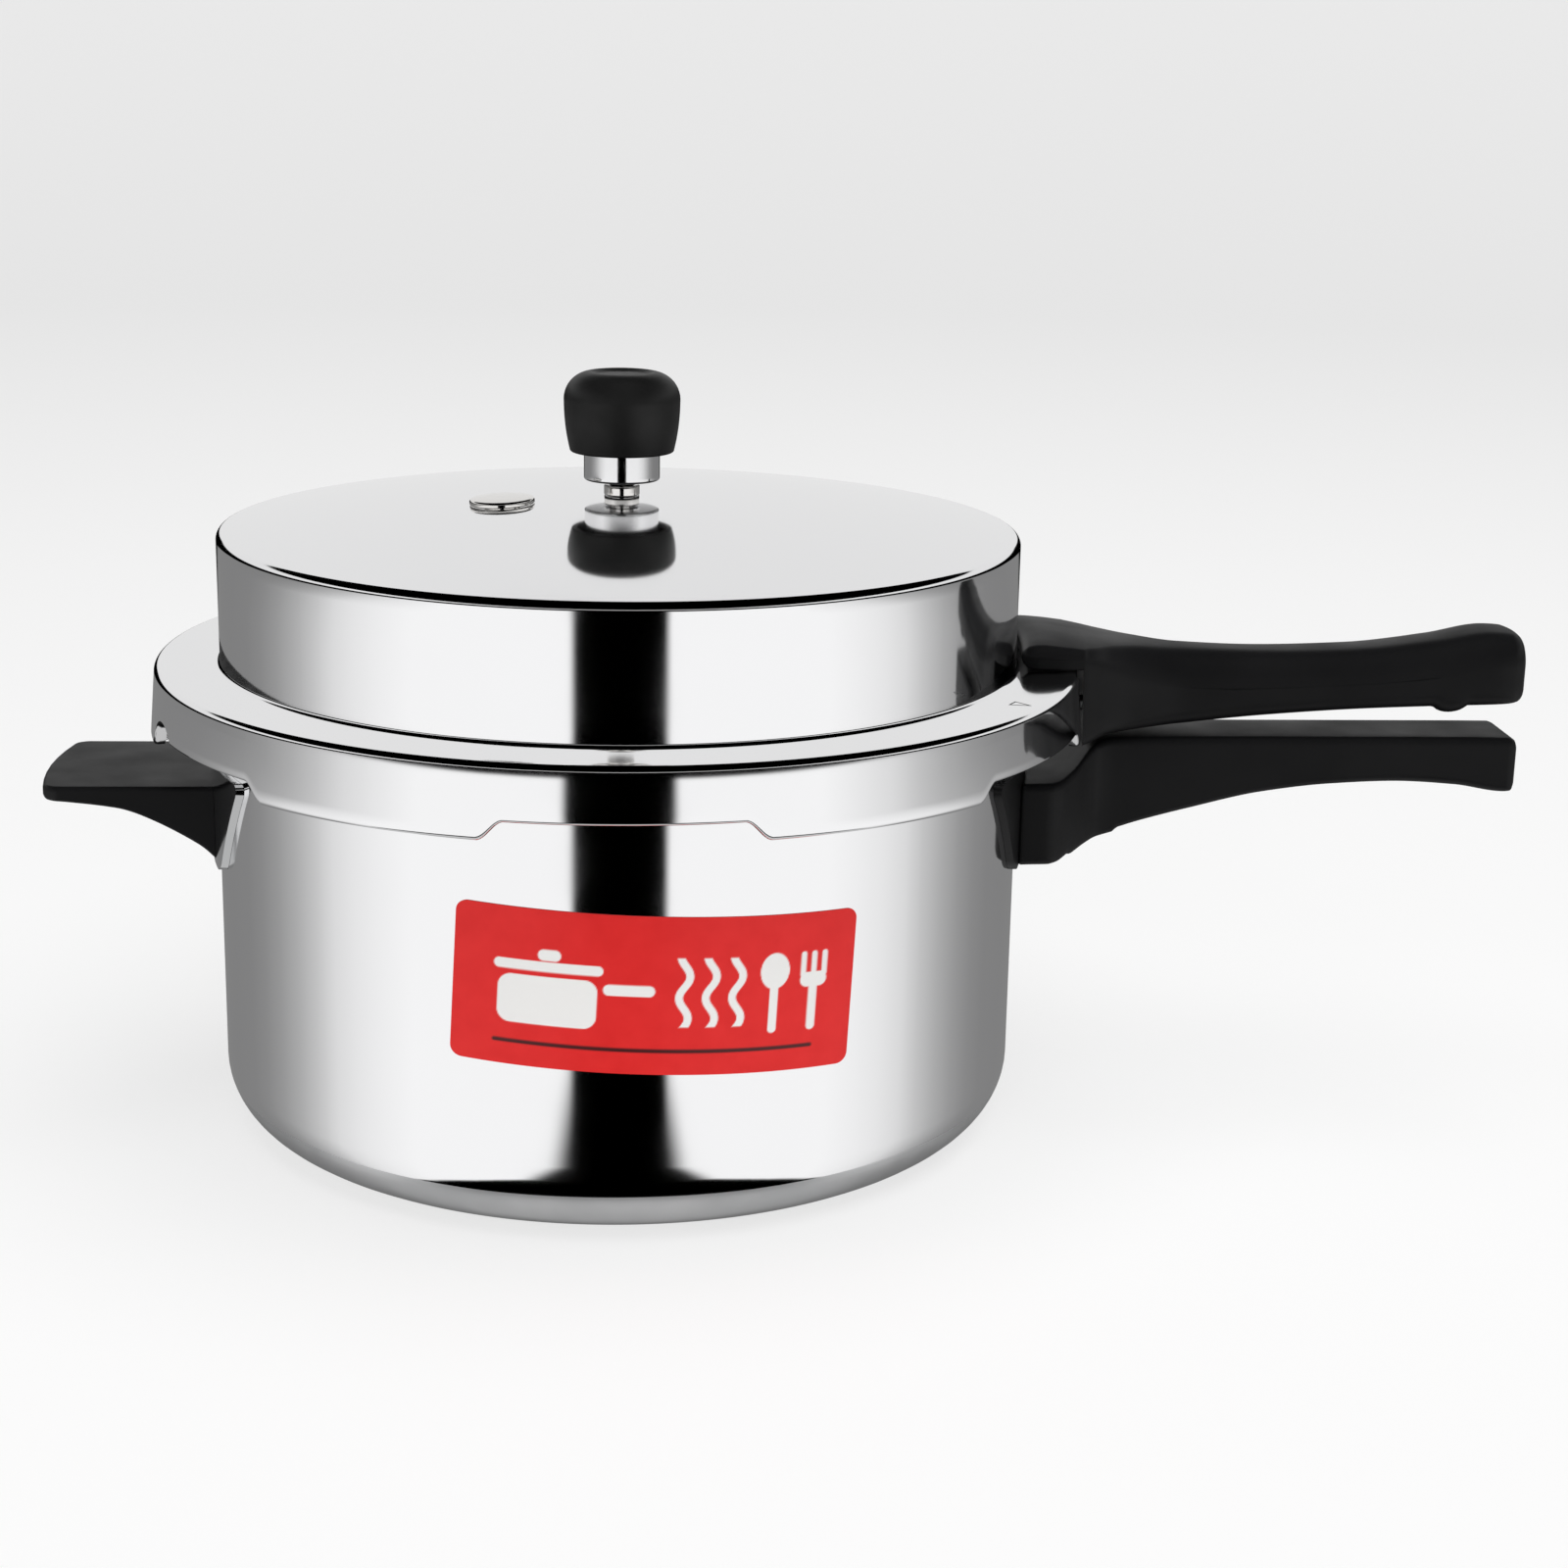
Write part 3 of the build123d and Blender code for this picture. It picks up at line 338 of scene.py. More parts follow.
# Compression-moulded phenolic: near-black satin, with mould grain drawn 0.6 mm across so that it shows.
PHENOLIC = finish_material("moulded_black_phenolic", "#111112", patches=(55, "#0E0E0F", "#151516"),
                           rough=(22, 0.42, 0.54), grain=(0.6, (1, 1, 1), 0.006), Specular_IOR_Level=0.2)
# Knob phenolic from a finer mould: a softer, slightly lighter sheen.
KNOB_PHENOLIC = finish_material("moulded_knob_phenolic", "#151515", patches=(12, "#121212", "#191919"),
                                rough=(9, 0.40, 0.52), grain=(0.5, (1, 1, 1), 0.005), Specular_IOR_Level=0.38)
# Bent strip under black baked enamel, smooth and half glossy.
ENAMELLED_STRIP = finish_material("black_enamelled_aluminium_strip", "#121213", rough=(15, 0.34, 0.46),
                                  Specular_IOR_Level=0.3)
# Moulded nitrile: charcoal and nearly matt, with a talc-like bloom.
NITRILE = finish_material("moulded_nitrile_rubber", "#232427", patches=(18, "#1E1F22", "#2C2D31"),
                          rough=(10, 0.5, 0.68), grain=(0.8, (1, 1, 1), 0.01), Specular_IOR_Level=0.4)
# Turned stainless steel: tool lines 0.3 mm apart round the axis blur its reflections a little up and down.
STEEL = finish_material("turned_stainless_steel", "#EDEDEE", rough=(6, 0.08, 0.14),
                        grain=(0.3, (0.02, 0.02, 1), 0.0006), Metallic=1.0)
# Bright nickel over turned brass: warm white and glossy.
NICKEL = finish_material("bright_nickel_plate", "#EAE8E5", rough=(4, 0.07, 0.13), Metallic=1.0)
# Bright zinc on steel hardware: bluish and a little cloudy.
ZINC = finish_material("bright_zinc_plate", "#B9BCC0", patches=(3, "#A9ADB3", "#C4C7CB"),
                       rough=(2, 0.22, 0.36), Metallic=1.0)
# Low-melting alloy cast into the plug: dull grey with a crystalline mottle.
ALLOY = finish_material("cast_fusible_alloy", "#97989D", patches=(1.5, "#85868B", "#A9AAAF"),
                        rough=(2, 0.38, 0.5), Metallic=1.0)
# A line etched in the polish: rough, so it reads darker than the mirror round it.
ETCHED = finish_material("etched_aluminium_line", "#6A6B6D", grain=(0.3, (1, 1, 1), 0.004),
                         Metallic=1.0, Roughness=0.5)


def painted_contact_shade(material):
    """Darkens the base towards the floor with painted shade, in place of the shade where it meets the floor:
    a ramp on height times its colour.
    """
    tree = material.node_tree
    shader = tree.nodes["Principled BSDF"]
    shade = shader.inputs["Base Color"].links[0].from_socket
    z = add(tree, "SeparateXYZ", {0: add(tree, "TexCoord", out="Object")}, out="Z")
    rise = add(tree, "MapRange", {"Value": z, "From Max": 0.012})
    ramp = add(tree, "ValToRGB", {"Fac": rise}, stops=[(0.0, 0.42), (1.0, 1.0)])
    # Painted shade: the ramp darkens the base colour towards the floor.
    contact_shade_colour = add(tree, "Mix", {0: 1.0, 6: shade, 7: ramp}, out=2, data_type="RGBA", blend_type="MULTIPLY")
    tree.links.new(contact_shade_colour, shader.inputs["Base Color"])


# Painted shade on the machined base, darker towards the floor.
painted_contact_shade(FACED)


def film_material():
    """Self-adhesive film, printed red and overprinted white and dark, under a gloss varnish.

    The mesh carries how much white and how much dark ink each point has, in the attributes white_ink and
    dark_ink. The red ink has a faint cloudiness a few millimetres across.
    """
    material = bpy.data.materials.new("printed_varnished_film")
    material.use_nodes = True
    tree = material.node_tree
    shader = tree.nodes["Principled BSDF"]
    shader.inputs["Roughness"].default_value = 0.34
    shader.inputs["Specular IOR Level"].default_value = 0.3
    place = add(tree, "TexCoord", out="Object")
    cloud = add(tree, "TexNoise", {"Vector": place, "Scale": 160.0, "Detail": 3.0})
    print_colour = add(tree, "ValToRGB", {"Fac": cloud},
                       stops=[(0.3, linear("#E21F1E")), (0.7, linear("#E82524"))])
    for ink, colour in (("dark_ink", "#4A1A1C"), ("white_ink", "#F6F5F3")):
        amount = add(tree, "Attribute", attribute_name=ink, attribute_type="GEOMETRY", out="Fac")
        print_colour = add(tree, "Mix", {0: amount, 6: print_colour, 7: linear(colour)}, out=2,
                           data_type="RGBA")
    tree.links.new(print_colour, shader.inputs["Base Color"])
    return material


# ---- Vessel ----
def fine_angles(marks, spread, count):
    """Angles of the columns of a turned piece: whole degrees, with finer steps round each mark."""
    near = [mark + np.linspace(-spread, spread, count) for mark in marks]
    return np.unique(np.round(np.concatenate([np.arange(360.0), *near]) % 360, 3))


def from_lug(angles):
    """Degrees from the middle of the nearest lug."""
    pitch = 360 / LUG_COUNT
    return np.abs((angles + pitch / 2) % pitch - pitch / 2)


def vessel():
    """Spun vessel: an outline turned round +Z, whose rim grows outwards and turns down at six lugs.

    With w from 0 between lugs to 1 on one, a point past the rim's root, at radius r, moves to root + (r -
    root) (plain + (1 - plain) w), which is the plain rim at w = 0. The turned-down lip stretches from next to
    nothing to its full drop in the same way.
    """
    inner = WALL_R - WALL_T
    under = RIM_TOP - RIM_T
    lip_in = LUG_R - RIM_T
    outline = rounded_path([
        (0, 0, 0), (WALL_R, 0, BASE_CORNER_R), (WALL_R, under, 1.5), (lip_in, under, 0.6),
        (lip_in, LUG_FOOT_Z, 0.8), (LUG_R, LUG_FOOT_Z, 0.8), (LUG_R, RIM_TOP, 1.6), (inner, RIM_TOP, 1.0),
        (inner, FLOOR_T, BASE_CORNER_R - WALL_T), (0, FLOOR_T, 0)], step=4.0, arc_steps=14)
    # A row of its own where the machined band ends, so that its edge is a clean line.
    level = np.argmax(outline[:, 1] > BAND_TOP_Z)
    across = BASE_CORNER_R - BAND_TOP_Z
    band = [WALL_R - BASE_CORNER_R + np.sqrt(BASE_CORNER_R ** 2 - across ** 2), BAND_TOP_Z]
    ring = np.insert(outline, level, band, axis=0)[1:-1]
    ends = [lug + side * LUG_HALF for lug in np.arange(LUG_COUNT) * 360 / LUG_COUNT for side in (-1, 1)]
    angles = fine_angles(ends, 1.2, 7)
    w = 1 - smooth(from_lug(angles), LUG_HALF - 0.8, LUG_HALF + 0.8)[None, :]
    r, z = ring[:, :1] + 0 * w, ring[:, 1:] + 0 * w
    root = WALL_R + 5.0
    plain = (RIM_R - root) / (LUG_R - root)
    z = np.where((r > root) & (z < under), under - (under - z) * (0.03 + 0.97 * w), z)
    r = np.where(r > root, root + (r - root) * (plain + (1 - plain) * w), r)
    points = np.concatenate([[[0, 0, 0]], round_rows(r, z, angles), [[0, 0, FLOOR_T]]])
    row = np.arange(len(ring) - 1)
    top_row = np.argmax(ring[:, 1])
    inside_row = top_row + 6             # past the rounding of the rim's inner edge
    machined = (row < top_row) & ((ring[:-1, 1] + ring[1:, 1]) / 2 < BAND_TOP_Z)
    kind = np.where(row > inside_row, 2, machined.astype(int))
    per_face = np.concatenate([np.full(len(angles), 1), np.repeat(kind, len(angles)),
                               np.full(len(angles), 2)])
    return piece("vessel", points, capped_faces(len(ring), len(angles)), "pot",
                 [MIRROR, FACED, SPUN_INSIDE], ["pot_body"], per_face, sharp=50)


def skirt_foot(angles):
    """Height of the skirt's foot: low on each lug, with soft slopes, and an arch for the sealing ring.

    The arch is an ellipse in the distance s round the skirt: z = foot + rise sqrt(1 - (s / half)^2).
    """
    foot = FOOT_LUG_Z + (FOOT_GAP_Z - FOOT_LUG_Z) * smooth(from_lug(angles), *FOOT_SLOPE)
    s = np.radians(angles - NOTCH_ANGLE) * SKIRT_FOOT_R / NOTCH_HALF
    arch = FOOT_LUG_Z + (NOTCH_TOP_Z - FOOT_LUG_Z) * np.sqrt(np.clip(1 - s ** 2, 0, 1))
    return np.maximum(foot, arch)


def lid_shell():
    """Pressed lid: an outline turned round +Z, from the dome's crown out to the skirt's foot and back inside.

    Below the flange's edge each point is drawn up so that the foot follows skirt_foot, and its radius
    follows the skirt's flare. The tab at the foot reaches in to full depth only on a lug.
    """
    inner_r = DRUM_R - LID_T
    skirt_in = SKIRT_FOOT_R - LID_T
    under = FLANGE_Z - LID_T
    outer = dome_line(CROWN_Z, DRUM_R, DRUM_EDGE_Z, 56)
    inner = dome_line(CROWN_Z - LID_T, inner_r, DRUM_EDGE_Z - LID_T + 0.4, 8)
    # The polished outside has finer roundings than the inside, because it mirrors sharply.
    outside = rounded_path([
        (*outer[-2], 0), (*outer[-1], 2.3), (DRUM_R, FLANGE_Z, 1.2), (FLANGE_R, FLANGE_Z, 1.8),
        (SKIRT_FOOT_R, FOOT_LUG_Z, 1.3), (skirt_in, FOOT_LUG_Z, 0)], step=3.0, arc_steps=12)
    inside = rounded_path([
        (skirt_in, FOOT_LUG_Z, 0), (TAB_R, FOOT_LUG_Z, 0.6), (TAB_R, FOOT_LUG_Z + TAB_T, 0.6),
        (skirt_in, FOOT_LUG_Z + TAB_T, 1.0), (FLANGE_R - LID_T, under, 1.2),
        (inner_r, under, 1.0), (*inner[-1], 1.0), (*inner[-2], 0)], step=9.0, arc_steps=4)
    outline = np.concatenate([outer[:-2], outside[:-1], inside, inner[:-2][::-1]])
    ring = outline[1:-1]
    lugs = np.arange(LUG_COUNT) * 360 / LUG_COUNT
    ends = [lug + side * at for lug in lugs for side in (-1, 1) for at in (LUG_HALF, np.mean(FOOT_SLOPE))]
    arch_end = 4.68                      # degrees from the arch's middle to where it meets the foot
    angles = fine_angles([*ends, NOTCH_ANGLE - arch_end, NOTCH_ANGLE + arch_end], 1.4, 9)
    top = FLANGE_Z - 4                   # the skirt is drawn up below this height
    zone = (ring[:, :1] > TAB_R - 1) & (ring[:, 1:] < top)
    draw = (top - skirt_foot(angles)[None, :]) / (top - FOOT_LUG_Z)
    w = 1 - smooth(from_lug(angles), LUG_HALF - 1.0, LUG_HALF + 0.6)[None, :]
    r, z = ring[:, :1] + 0 * w, ring[:, 1:] + 0 * w
    tab = zone & (r < skirt_in - 0.2)
    r = np.where(tab, skirt_in - (skirt_in - r) * (0.04 + 0.96 * w), r)
    drawn = np.where(zone, top - (top - z) * draw, z)
    r = r - SKIRT_SPREAD / SKIRT_TALL * (drawn - z)
    points = np.concatenate([[[0, 0, outline[0, 1]]], round_rows(r, drawn, angles),
                             [[0, 0, outline[-1, 1]]]])
    foot_row = np.argmin(ring[:, 1] + 0.001 * ring[:, 0])
    kind = (np.arange(len(ring) - 1) > foot_row + 2).astype(int)
    per_face = np.concatenate([np.zeros(len(angles)), np.repeat(kind, len(angles)), np.ones(len(angles))])
    shell = piece("lid_shell", points, capped_faces(len(ring), len(angles)), "lid",
                  [MIRROR, SPUN_INSIDE], ["lid"], per_face, sharp=50)
    # Mirrored in itself, the drum would lay a second set of dark lines over the flange.
    shell.visible_glossy = False


# ---- Handles ----
def section_ring(arc_points=9, side_points=5):
    """Four arrays for a rounded rectangle's outline: corner signs in y and z, and the unit normal in y and z.

    A point is at sign * (half size - corner radius) + corner radius * normal. Along a side the signs slide
    from one corner to the next while the normal stands still.
    """
    rows = []
    for start in np.arange(4) * np.pi / 2:
        end = start + np.pi / 2
        sign_y, sign_z = np.sign(np.cos(start + np.pi / 4)), np.sign(np.sin(start + np.pi / 4))
        next_y, next_z = np.sign(np.cos(end + np.pi / 4)), np.sign(np.sin(end + np.pi / 4))
        turn = np.linspace(start, end, arc_points)
        rows.append(np.stack([0 * turn + sign_y, 0 * turn + sign_z, np.cos(turn), np.sin(turn)], 1))
        share = np.linspace(0, 1, side_points + 2)[1:-1]
        rows.append(np.stack([sign_y + (next_y - sign_y) * share, sign_z + (next_z - sign_z) * share,
                              0 * share + np.cos(end), 0 * share + np.sin(end)], 1))
    return np.concatenate(rows).T


def grip(name, s, sections, body, replaced, seat_r, seat_fade, tip_bow=0.0, crown=0.0, mirrored=False):
    """A moulded grip: rounded-rectangle sections along s, whose planes bend round the vessel near it.

    `sections` holds, at each s, half width, bottom, top, upper and lower corner radius. A point of the
    section at s lies at x = s - k (R - sqrt(R^2 - y^2)), with k falling from 1 at the seat to 0 over
    `seat_fade`, and the last section bows outwards by `tip_bow` in its middle. `crown` lifts the top's
    middle by crown (1 - (y / half)^2). Both ends are closed by rings that shrink to a point in the same
    bent plane.
    """
    sign_y, sign_z, normal_y, normal_z = section_ring()
    half, low, high, upper, lower = [column[:, None] for column in sections]
    radius = np.where(normal_z[None, :] > 1e-6, upper, lower)
    up = (sign_z + 1) / 2
    radius = np.where(np.abs(normal_z[None, :]) < 1e-6, lower * (1 - up) + upper * up, radius)
    centre, tall = (high + low) / 2, (high - low) / 2
    radius = np.minimum(radius, np.minimum(half, tall) * 0.98)
    y = sign_y * (half - radius) + radius * normal_y
    z = centre + sign_z * (tall - radius) + radius * normal_z
    z = z + crown * np.where(z > centre, 1 - (y / half) ** 2, 0)
    along = s[:, None] + 0 * y
    shrink = np.array([0.08, 0.3, 0.52, 0.74, 0.9])[:, None]

    def cap(row, scale):
        return along[row] + 0 * scale, y[row] * scale, centre[row] + (z[row] - centre[row]) * scale

    rows = [np.concatenate(group) for group in zip(cap(0, shrink), (along, y, z), cap(-1, shrink[::-1]))]
    poles = [[[s[end], 0, centre[end, 0]]] for end in (0, -1)]
    points = np.concatenate([poles[0], np.stack(rows, -1).reshape(-1, 3), poles[1]])
    at, across = points[:, 0], points[:, 1]
    k = 1 - smooth(at, seat_r + 1.0, seat_r + 1.0 + seat_fade)
    bow = tip_bow * smooth(at, s[-1] - 14, s[-1]) * (across / half.max()) ** 2
    points[:, 0] = at - k * (seat_r - np.sqrt(seat_r ** 2 - across ** 2)) - bow
    if mirrored:
        points[:, :2] *= -1
    faces = capped_faces(len(rows[0]), len(sign_y))
    return piece(name, points, faces, body, [PHENOLIC], replaced, sharp=40)


def lid_grip():
    """Upper grip: a saddle over the flange, a shoulder down the skirt, and a waisted, upswept grip.

    Under the tip hangs a small pad whose depth is 1.9 (1 - t^2)^0.6, with t from -1 to 1 along it.
    """
    _, (tip, _, _) = box_mm("lid_handle")
    start, base = DRUM_R + 1.3, FLANGE_Z
    saddle = [
        # s, half width, bottom, top, upper corner, lower corner
        (start, 20.5, base + 2.6, base + 4.4, 0.8, 0.6),
        (start + 0.7, 22.4, base + 1.9, base + 5.5, 1.6, 0.8),
        (start + 2.4, 23.7, base + 0.5, base + 6.5, 2.6, 0.8),
        (start + 5.0, 24.4, base + 0.25, base + 6.9, 3.2, 0.8),
        (start + 11.0, 24.5, base + 0.25, base + 6.5, 3.4, 0.8),
        (start + 18.2, 24.0, base + 0.25, base + 5.7, 3.6, 0.8),
    ]
    over = np.concatenate([np.linspace(start, start + 2.2, 12), np.linspace(start + 2.8, start + 18.2, 24)])
    shaft = [
        (start + 18.7, 23.95, base - 22.5, base + 5.6, 3.8, 2.6),
        (start + 21.0, 22.8, base - 21.9, base + 5.3, 4.4, 3.0),
        (start + 26.0, 19.2, base - 20.6, base + 4.6, 6.0, 4.0),
        (start + 33.7, 16.2, base - 19.9, base + 3.5, 8.0, 4.6),
        (start + 48.7, 13.5, base - 18.6, base + 1.8, 9.0, 5.0),
        (start + 73.7, 12.6, base - 16.3, base + 1.0, 9.0, 5.0),
        (tip - 52.0, 12.8, base - 14.5, base + 1.7, 8.6, 5.0),
        (tip - 27.0, 13.6, base - 13.3, base + 4.6, 8.4, 5.0),
        (tip - 10.0, 14.2, base - 12.6, base + 7.4, 8.0, 4.6),
        (tip - 5.5, 13.7, base - 12.4, base + 7.2, 7.6, 4.4),
        (tip - 2.8, 12.3, base - 12.1, base + 6.4, 6.6, 4.0),
        (tip - 1.1, 10.0, base - 11.4, base + 4.7, 5.4, 3.4),
        (tip - 0.3, 7.4, base - 10.3, base + 2.4, 4.2, 2.8),
        (tip, 4.6, base - 8.6, base + 0.0, 2.6, 2.2),
    ]
    out = np.concatenate([np.linspace(start + 18.7, tip - 5, 120), np.linspace(tip - 4.6, tip - 0.5, 16),
                          tip - 0.5 + 0.5 * np.sin(np.linspace(0.2, np.pi / 2, 7))])
    sections = np.concatenate([flowing(saddle, over), flowing(shaft, out)], 1)
    s = np.concatenate([over, out])
    pad_middle, pad_half = tip - 23, 4.6
    sections[1] -= 1.9 * np.clip(1 - ((s - pad_middle) / pad_half) ** 2, 0, 1) ** 0.6
    return grip("lid_grip", s, sections, "lid", ["lid_handle"], SKIRT_FOOT_R + 0.2, 26.0, crown=1.5)


def body_grip():
    """Lower grip: a wide block against its bracket, a step up, and a flat top over an arched underside."""
    _, (tip, _, top) = box_mm("body_handle")
    start = BLOCK_R
    stations = [
        # s, half width, bottom, top, upper corner, lower corner
        (start, 29.4, top - 33.9, top - 10.5, 1.6, 1.6),
        (start + 0.6, 30.0, top - 34.2, top - 9.9, 2.2, 2.2),
        (start + 5.8, 29.9, top - 34.2, top - 9.8, 2.4, 2.6),
        (start + 7.2, 29.0, top - 34.0, top - 9.7, 2.4, 2.6),
        (start + 12.5, 23.2, top - 32.2, top - 7.7, 2.4, 2.6),
        (start + 18.5, 16.8, top - 30.2, top - 2.6, 2.4, 2.6),
        (start + 21.5, 14.6, top - 29.3, top - 0.7, 2.4, 2.6),
        (start + 26.0, 13.7, top - 28.2, top - 0.05, 2.4, 2.6),
        (start + 34.0, 13.2, top - 25.8, top, 2.4, 2.6),
        (start + 49.5, 12.8, top - 21.8, top, 2.4, 2.6),
        (start + 71.0, 12.5, top - 16.9, top, 2.4, 2.6),
        (tip - 55.0, 12.5, top - 14.4, top, 2.4, 2.6),
        (tip - 36.0, 12.5, top - 13.6, top, 2.4, 2.6),
        (tip - 18.0, 12.5, top - 14.6, top, 2.4, 2.6),
        (tip - 3.0, 12.5, top - 16.7, top - 0.1, 2.2, 2.4),
        (tip - 0.9, 12.0, top - 16.6, top - 0.8, 2.0, 2.2),
        (tip, 10.6, top - 15.4, top - 2.2, 1.6, 1.8),
    ]
    s = np.concatenate([np.linspace(start, start + 0.6, 4), np.linspace(start + 1.2, tip - 3.2, 170),
                        tip - 3 + 3 * np.sin(np.linspace(0.05, np.pi / 2, 12))])
    sections = flowing(stations, s)
    # A shallow pad under the root of the grip, where the clamp screw goes in.
    pad = smooth(s, start + 11.5, start + 12.6) * (1 - smooth(s, start + 26.5, start + 28.0))
    sections[1] -= 0.9 * pad
    return grip("body_grip", s, sections, "pot", ["body_handle"], BLOCK_R, 8.0)


def helper_grip():
    """Short ledge on the other side: flat top, hollow underside, and a rounded plan that closes at its tip.

    With t from 0 to 1 over the last 5 mm, the half width is 22.5 + 5 sqrt(1 - t^2). The top and bottom edges
    round over in the last 1.4 mm, by a quarter circle.
    """
    (tip, _, _), (_, _, top) = box_mm("helper_handle")
    start, tip, rounding, edge_r = BLOCK_R, -tip, 5, 1.4
    underside = [(start, top - 21.0), (start + 4, top - 17.0), (start + 13, top - 10.4),
                 (start + 24.5, top - 6.2), (tip - 6, top - 4.4), (tip, top - 4.2)]
    s = np.concatenate([np.linspace(start, tip - 5.2, 60),
                        tip - rounding + rounding * np.sin(np.linspace(0.02, np.pi / 2, 24))])
    t = np.clip((s - (tip - rounding)) / rounding, 0, 1)
    edge = edge_r * (1 - np.sqrt(1 - np.clip((s - (tip - edge_r)) / edge_r, 0, 1) ** 2))
    corner = np.full_like(s, 1.5)
    sections = [22.5 + 5 * np.sqrt(1 - t ** 2), flowing(underside, s)[0] + 0.8 * edge, top - edge,
                corner, corner * 0.8]
    return grip("helper_grip", s, sections, "pot", ["helper_handle"], BLOCK_R, 12.0, tip_bow=3.2,
                mirrored=True)


# ---- Brackets, label and index mark ----
def bent_plate(node, turn, material):
    """Bracket plate bent round the vessel, from a CAD node's lowest to its highest point.

    Its half width runs straight from 36 mm at the bottom to 56 mm at the top. Within a corner radius q of
    either edge it shrinks by q - sqrt(q^2 - t^2), which rounds the plate's corners.
    """
    (_, _, z_low), (_, _, z_high) = box_mm(node)
    half_low, half_high, corner = 36.0, 56.0, 4.0
    tall = z_high - z_low
    end = corner * (1 - np.cos(np.linspace(0, np.pi / 2, 9)))
    z = np.unique(np.concatenate([end, np.linspace(corner, tall - corner, 12), tall - end]))
    t = np.clip(corner - np.minimum(z, tall - z), 0, corner)
    half = half_low + (half_high - half_low) * z / tall - (corner - np.sqrt(corner ** 2 - t ** 2))
    y = half[:, None] * np.linspace(-1, 1, 61)[None, :]
    a = np.radians(turn)

    def skin(radius):
        x = np.sqrt(radius ** 2 - y ** 2)
        return np.stack([x * np.cos(a) - y * np.sin(a), x * np.sin(a) + y * np.cos(a),
                         (z + z_low)[:, None] + 0 * y], -1)

    return plate(node + "_plate", skin(BRACKET_R + BRACKET_T), skin(BRACKET_R), "pot",
                 [material], [node])


def capsule(u, v, a, b, radius):
    """Distance to a stroke with round ends: how far a point is from the segment a to b, less the radius."""
    (ax, ay), (bx, by) = a, b
    dx, dy = bx - ax, by - ay
    t = np.clip(((u - ax) * dx + (v - ay) * dy) / (dx ** 2 + dy ** 2 + 1e-9), 0, 1)
    return np.hypot(u - ax - t * dx, v - ay - t * dy) - radius


def rounded_box(u, v, x, y, half_w, half_h, corner):
    """Distance to a rounded rectangle: how far |p| passes (half size - corner), less the corner radius."""
    dx = np.maximum(np.abs(u - x) - half_w + corner, 0)
    dy = np.maximum(np.abs(v - y) - half_h + corner, 0)
    return np.hypot(dx, dy) - corner


def kitchen_pictures(u, v):
    """How much white and dark ink the film has at u, v millimetres from its middle.

    White: a lidded saucepan, a spoon, a fork and three wisps of steam. Dark: a straight rule under them. Each
    is a distance in the plane of the film, turned to ink over a quarter of a millimetre. A wisp follows the
    sine u = x + 1.3 sin(0.55 (v - 2.5)).
    """
    saucepan = np.minimum.reduce([
        rounded_box(u, v, -28.5, -3.2, 12.6, 6.6, 3.4), rounded_box(u, v, -28.5, 6.1, 13.8, 1.35, 1.3),
        rounded_box(u, v, -28.5, 9.3, 2.9, 1.5, 1.4), capsule(u, v, (-13, 1.2), (-2.6, 1.2), 1.5)])
    sway, waves = 1.3, 0.55
    bend = sway * np.sin((v - 2.5) * waves)
    slant = np.hypot(1, sway * waves * np.cos((v - 2.5) * waves))
    wisps = [np.maximum(np.abs(u - x - bend) / slant - 1.0, np.abs(v - 1.0) - 9.4)
             for x in (6.5, 13.5, 20.5)]
    bowl = np.hypot((u - 30.5) * 1.25, v - 6.2) - 4.9
    spoon = np.minimum(bowl, capsule(u, v, (30.5, 2), (30.5, -9.6), 1.15))
    tines = [capsule(u, v, (41.2 + x, 10.2), (41.2 + x, 4.6), 0.75) for x in (-2.9, 0, 2.9)]
    fork = np.minimum.reduce([*tines, rounded_box(u, v, 41.2, 3.2, 3.65, 2.0, 1.9),
                              capsule(u, v, (41.2, 2), (41.2, -9.6), 1.15)])
    white = np.minimum.reduce([saucepan, *wisps, spoon, fork])
    dark = rounded_box(u, v, 0, -15.0, 42.0, 0.55, 0.5)
    return np.clip(0.5 - white / 0.25, 0, 1), np.clip(0.5 - dark / 0.25, 0, 1)


def printed_label():
    """Film wrapped on the vessel: a tilted rectangle with rounded corners, laid straight back onto the wall.

    Its corners are rounded as the brackets' are. Each point carries how much white and dark ink it has.
    """
    tilt, turn, corner = np.radians(-3.0), np.radians(4.5), 3.0
    half_w, half_h, middle_z = 52.5, 21.5, 70.0
    tall = 2 * half_h
    end = corner * (1 - np.cos(np.linspace(0, np.pi / 2, 10)))
    v = np.unique(np.concatenate([end, np.linspace(corner, tall - corner, 130), tall - end])) - half_h
    t = np.clip(corner - (half_h - np.abs(v)), 0, corner)
    width = half_w - (corner - np.sqrt(corner ** 2 - t ** 2))
    u = width[:, None] * np.linspace(-1, 1, 330)[None, :]
    v = v[:, None] + 0 * u
    across, up = u * np.cos(tilt) - v * np.sin(tilt), u * np.sin(tilt) + v * np.cos(tilt)

    def skin(radius):
        x, y = across, -np.sqrt(radius ** 2 - across ** 2)
        return np.stack([x * np.cos(turn) - y * np.sin(turn), x * np.sin(turn) + y * np.cos(turn),
                         middle_z + up], -1)

    film = plate("printed_label", skin(WALL_R + 0.2), skin(WALL_R + 0.03), "pot",
                 [film_material()], ["label"])
    for ink, amount in zip(("white_ink", "dark_ink"), kitchen_pictures(u, v)):
        layer = film.data.attributes.new(ink, "FLOAT", "POINT")
        layer.data.foreach_set("value", np.tile(amount.ravel(), 2).astype(np.float32))
    return film


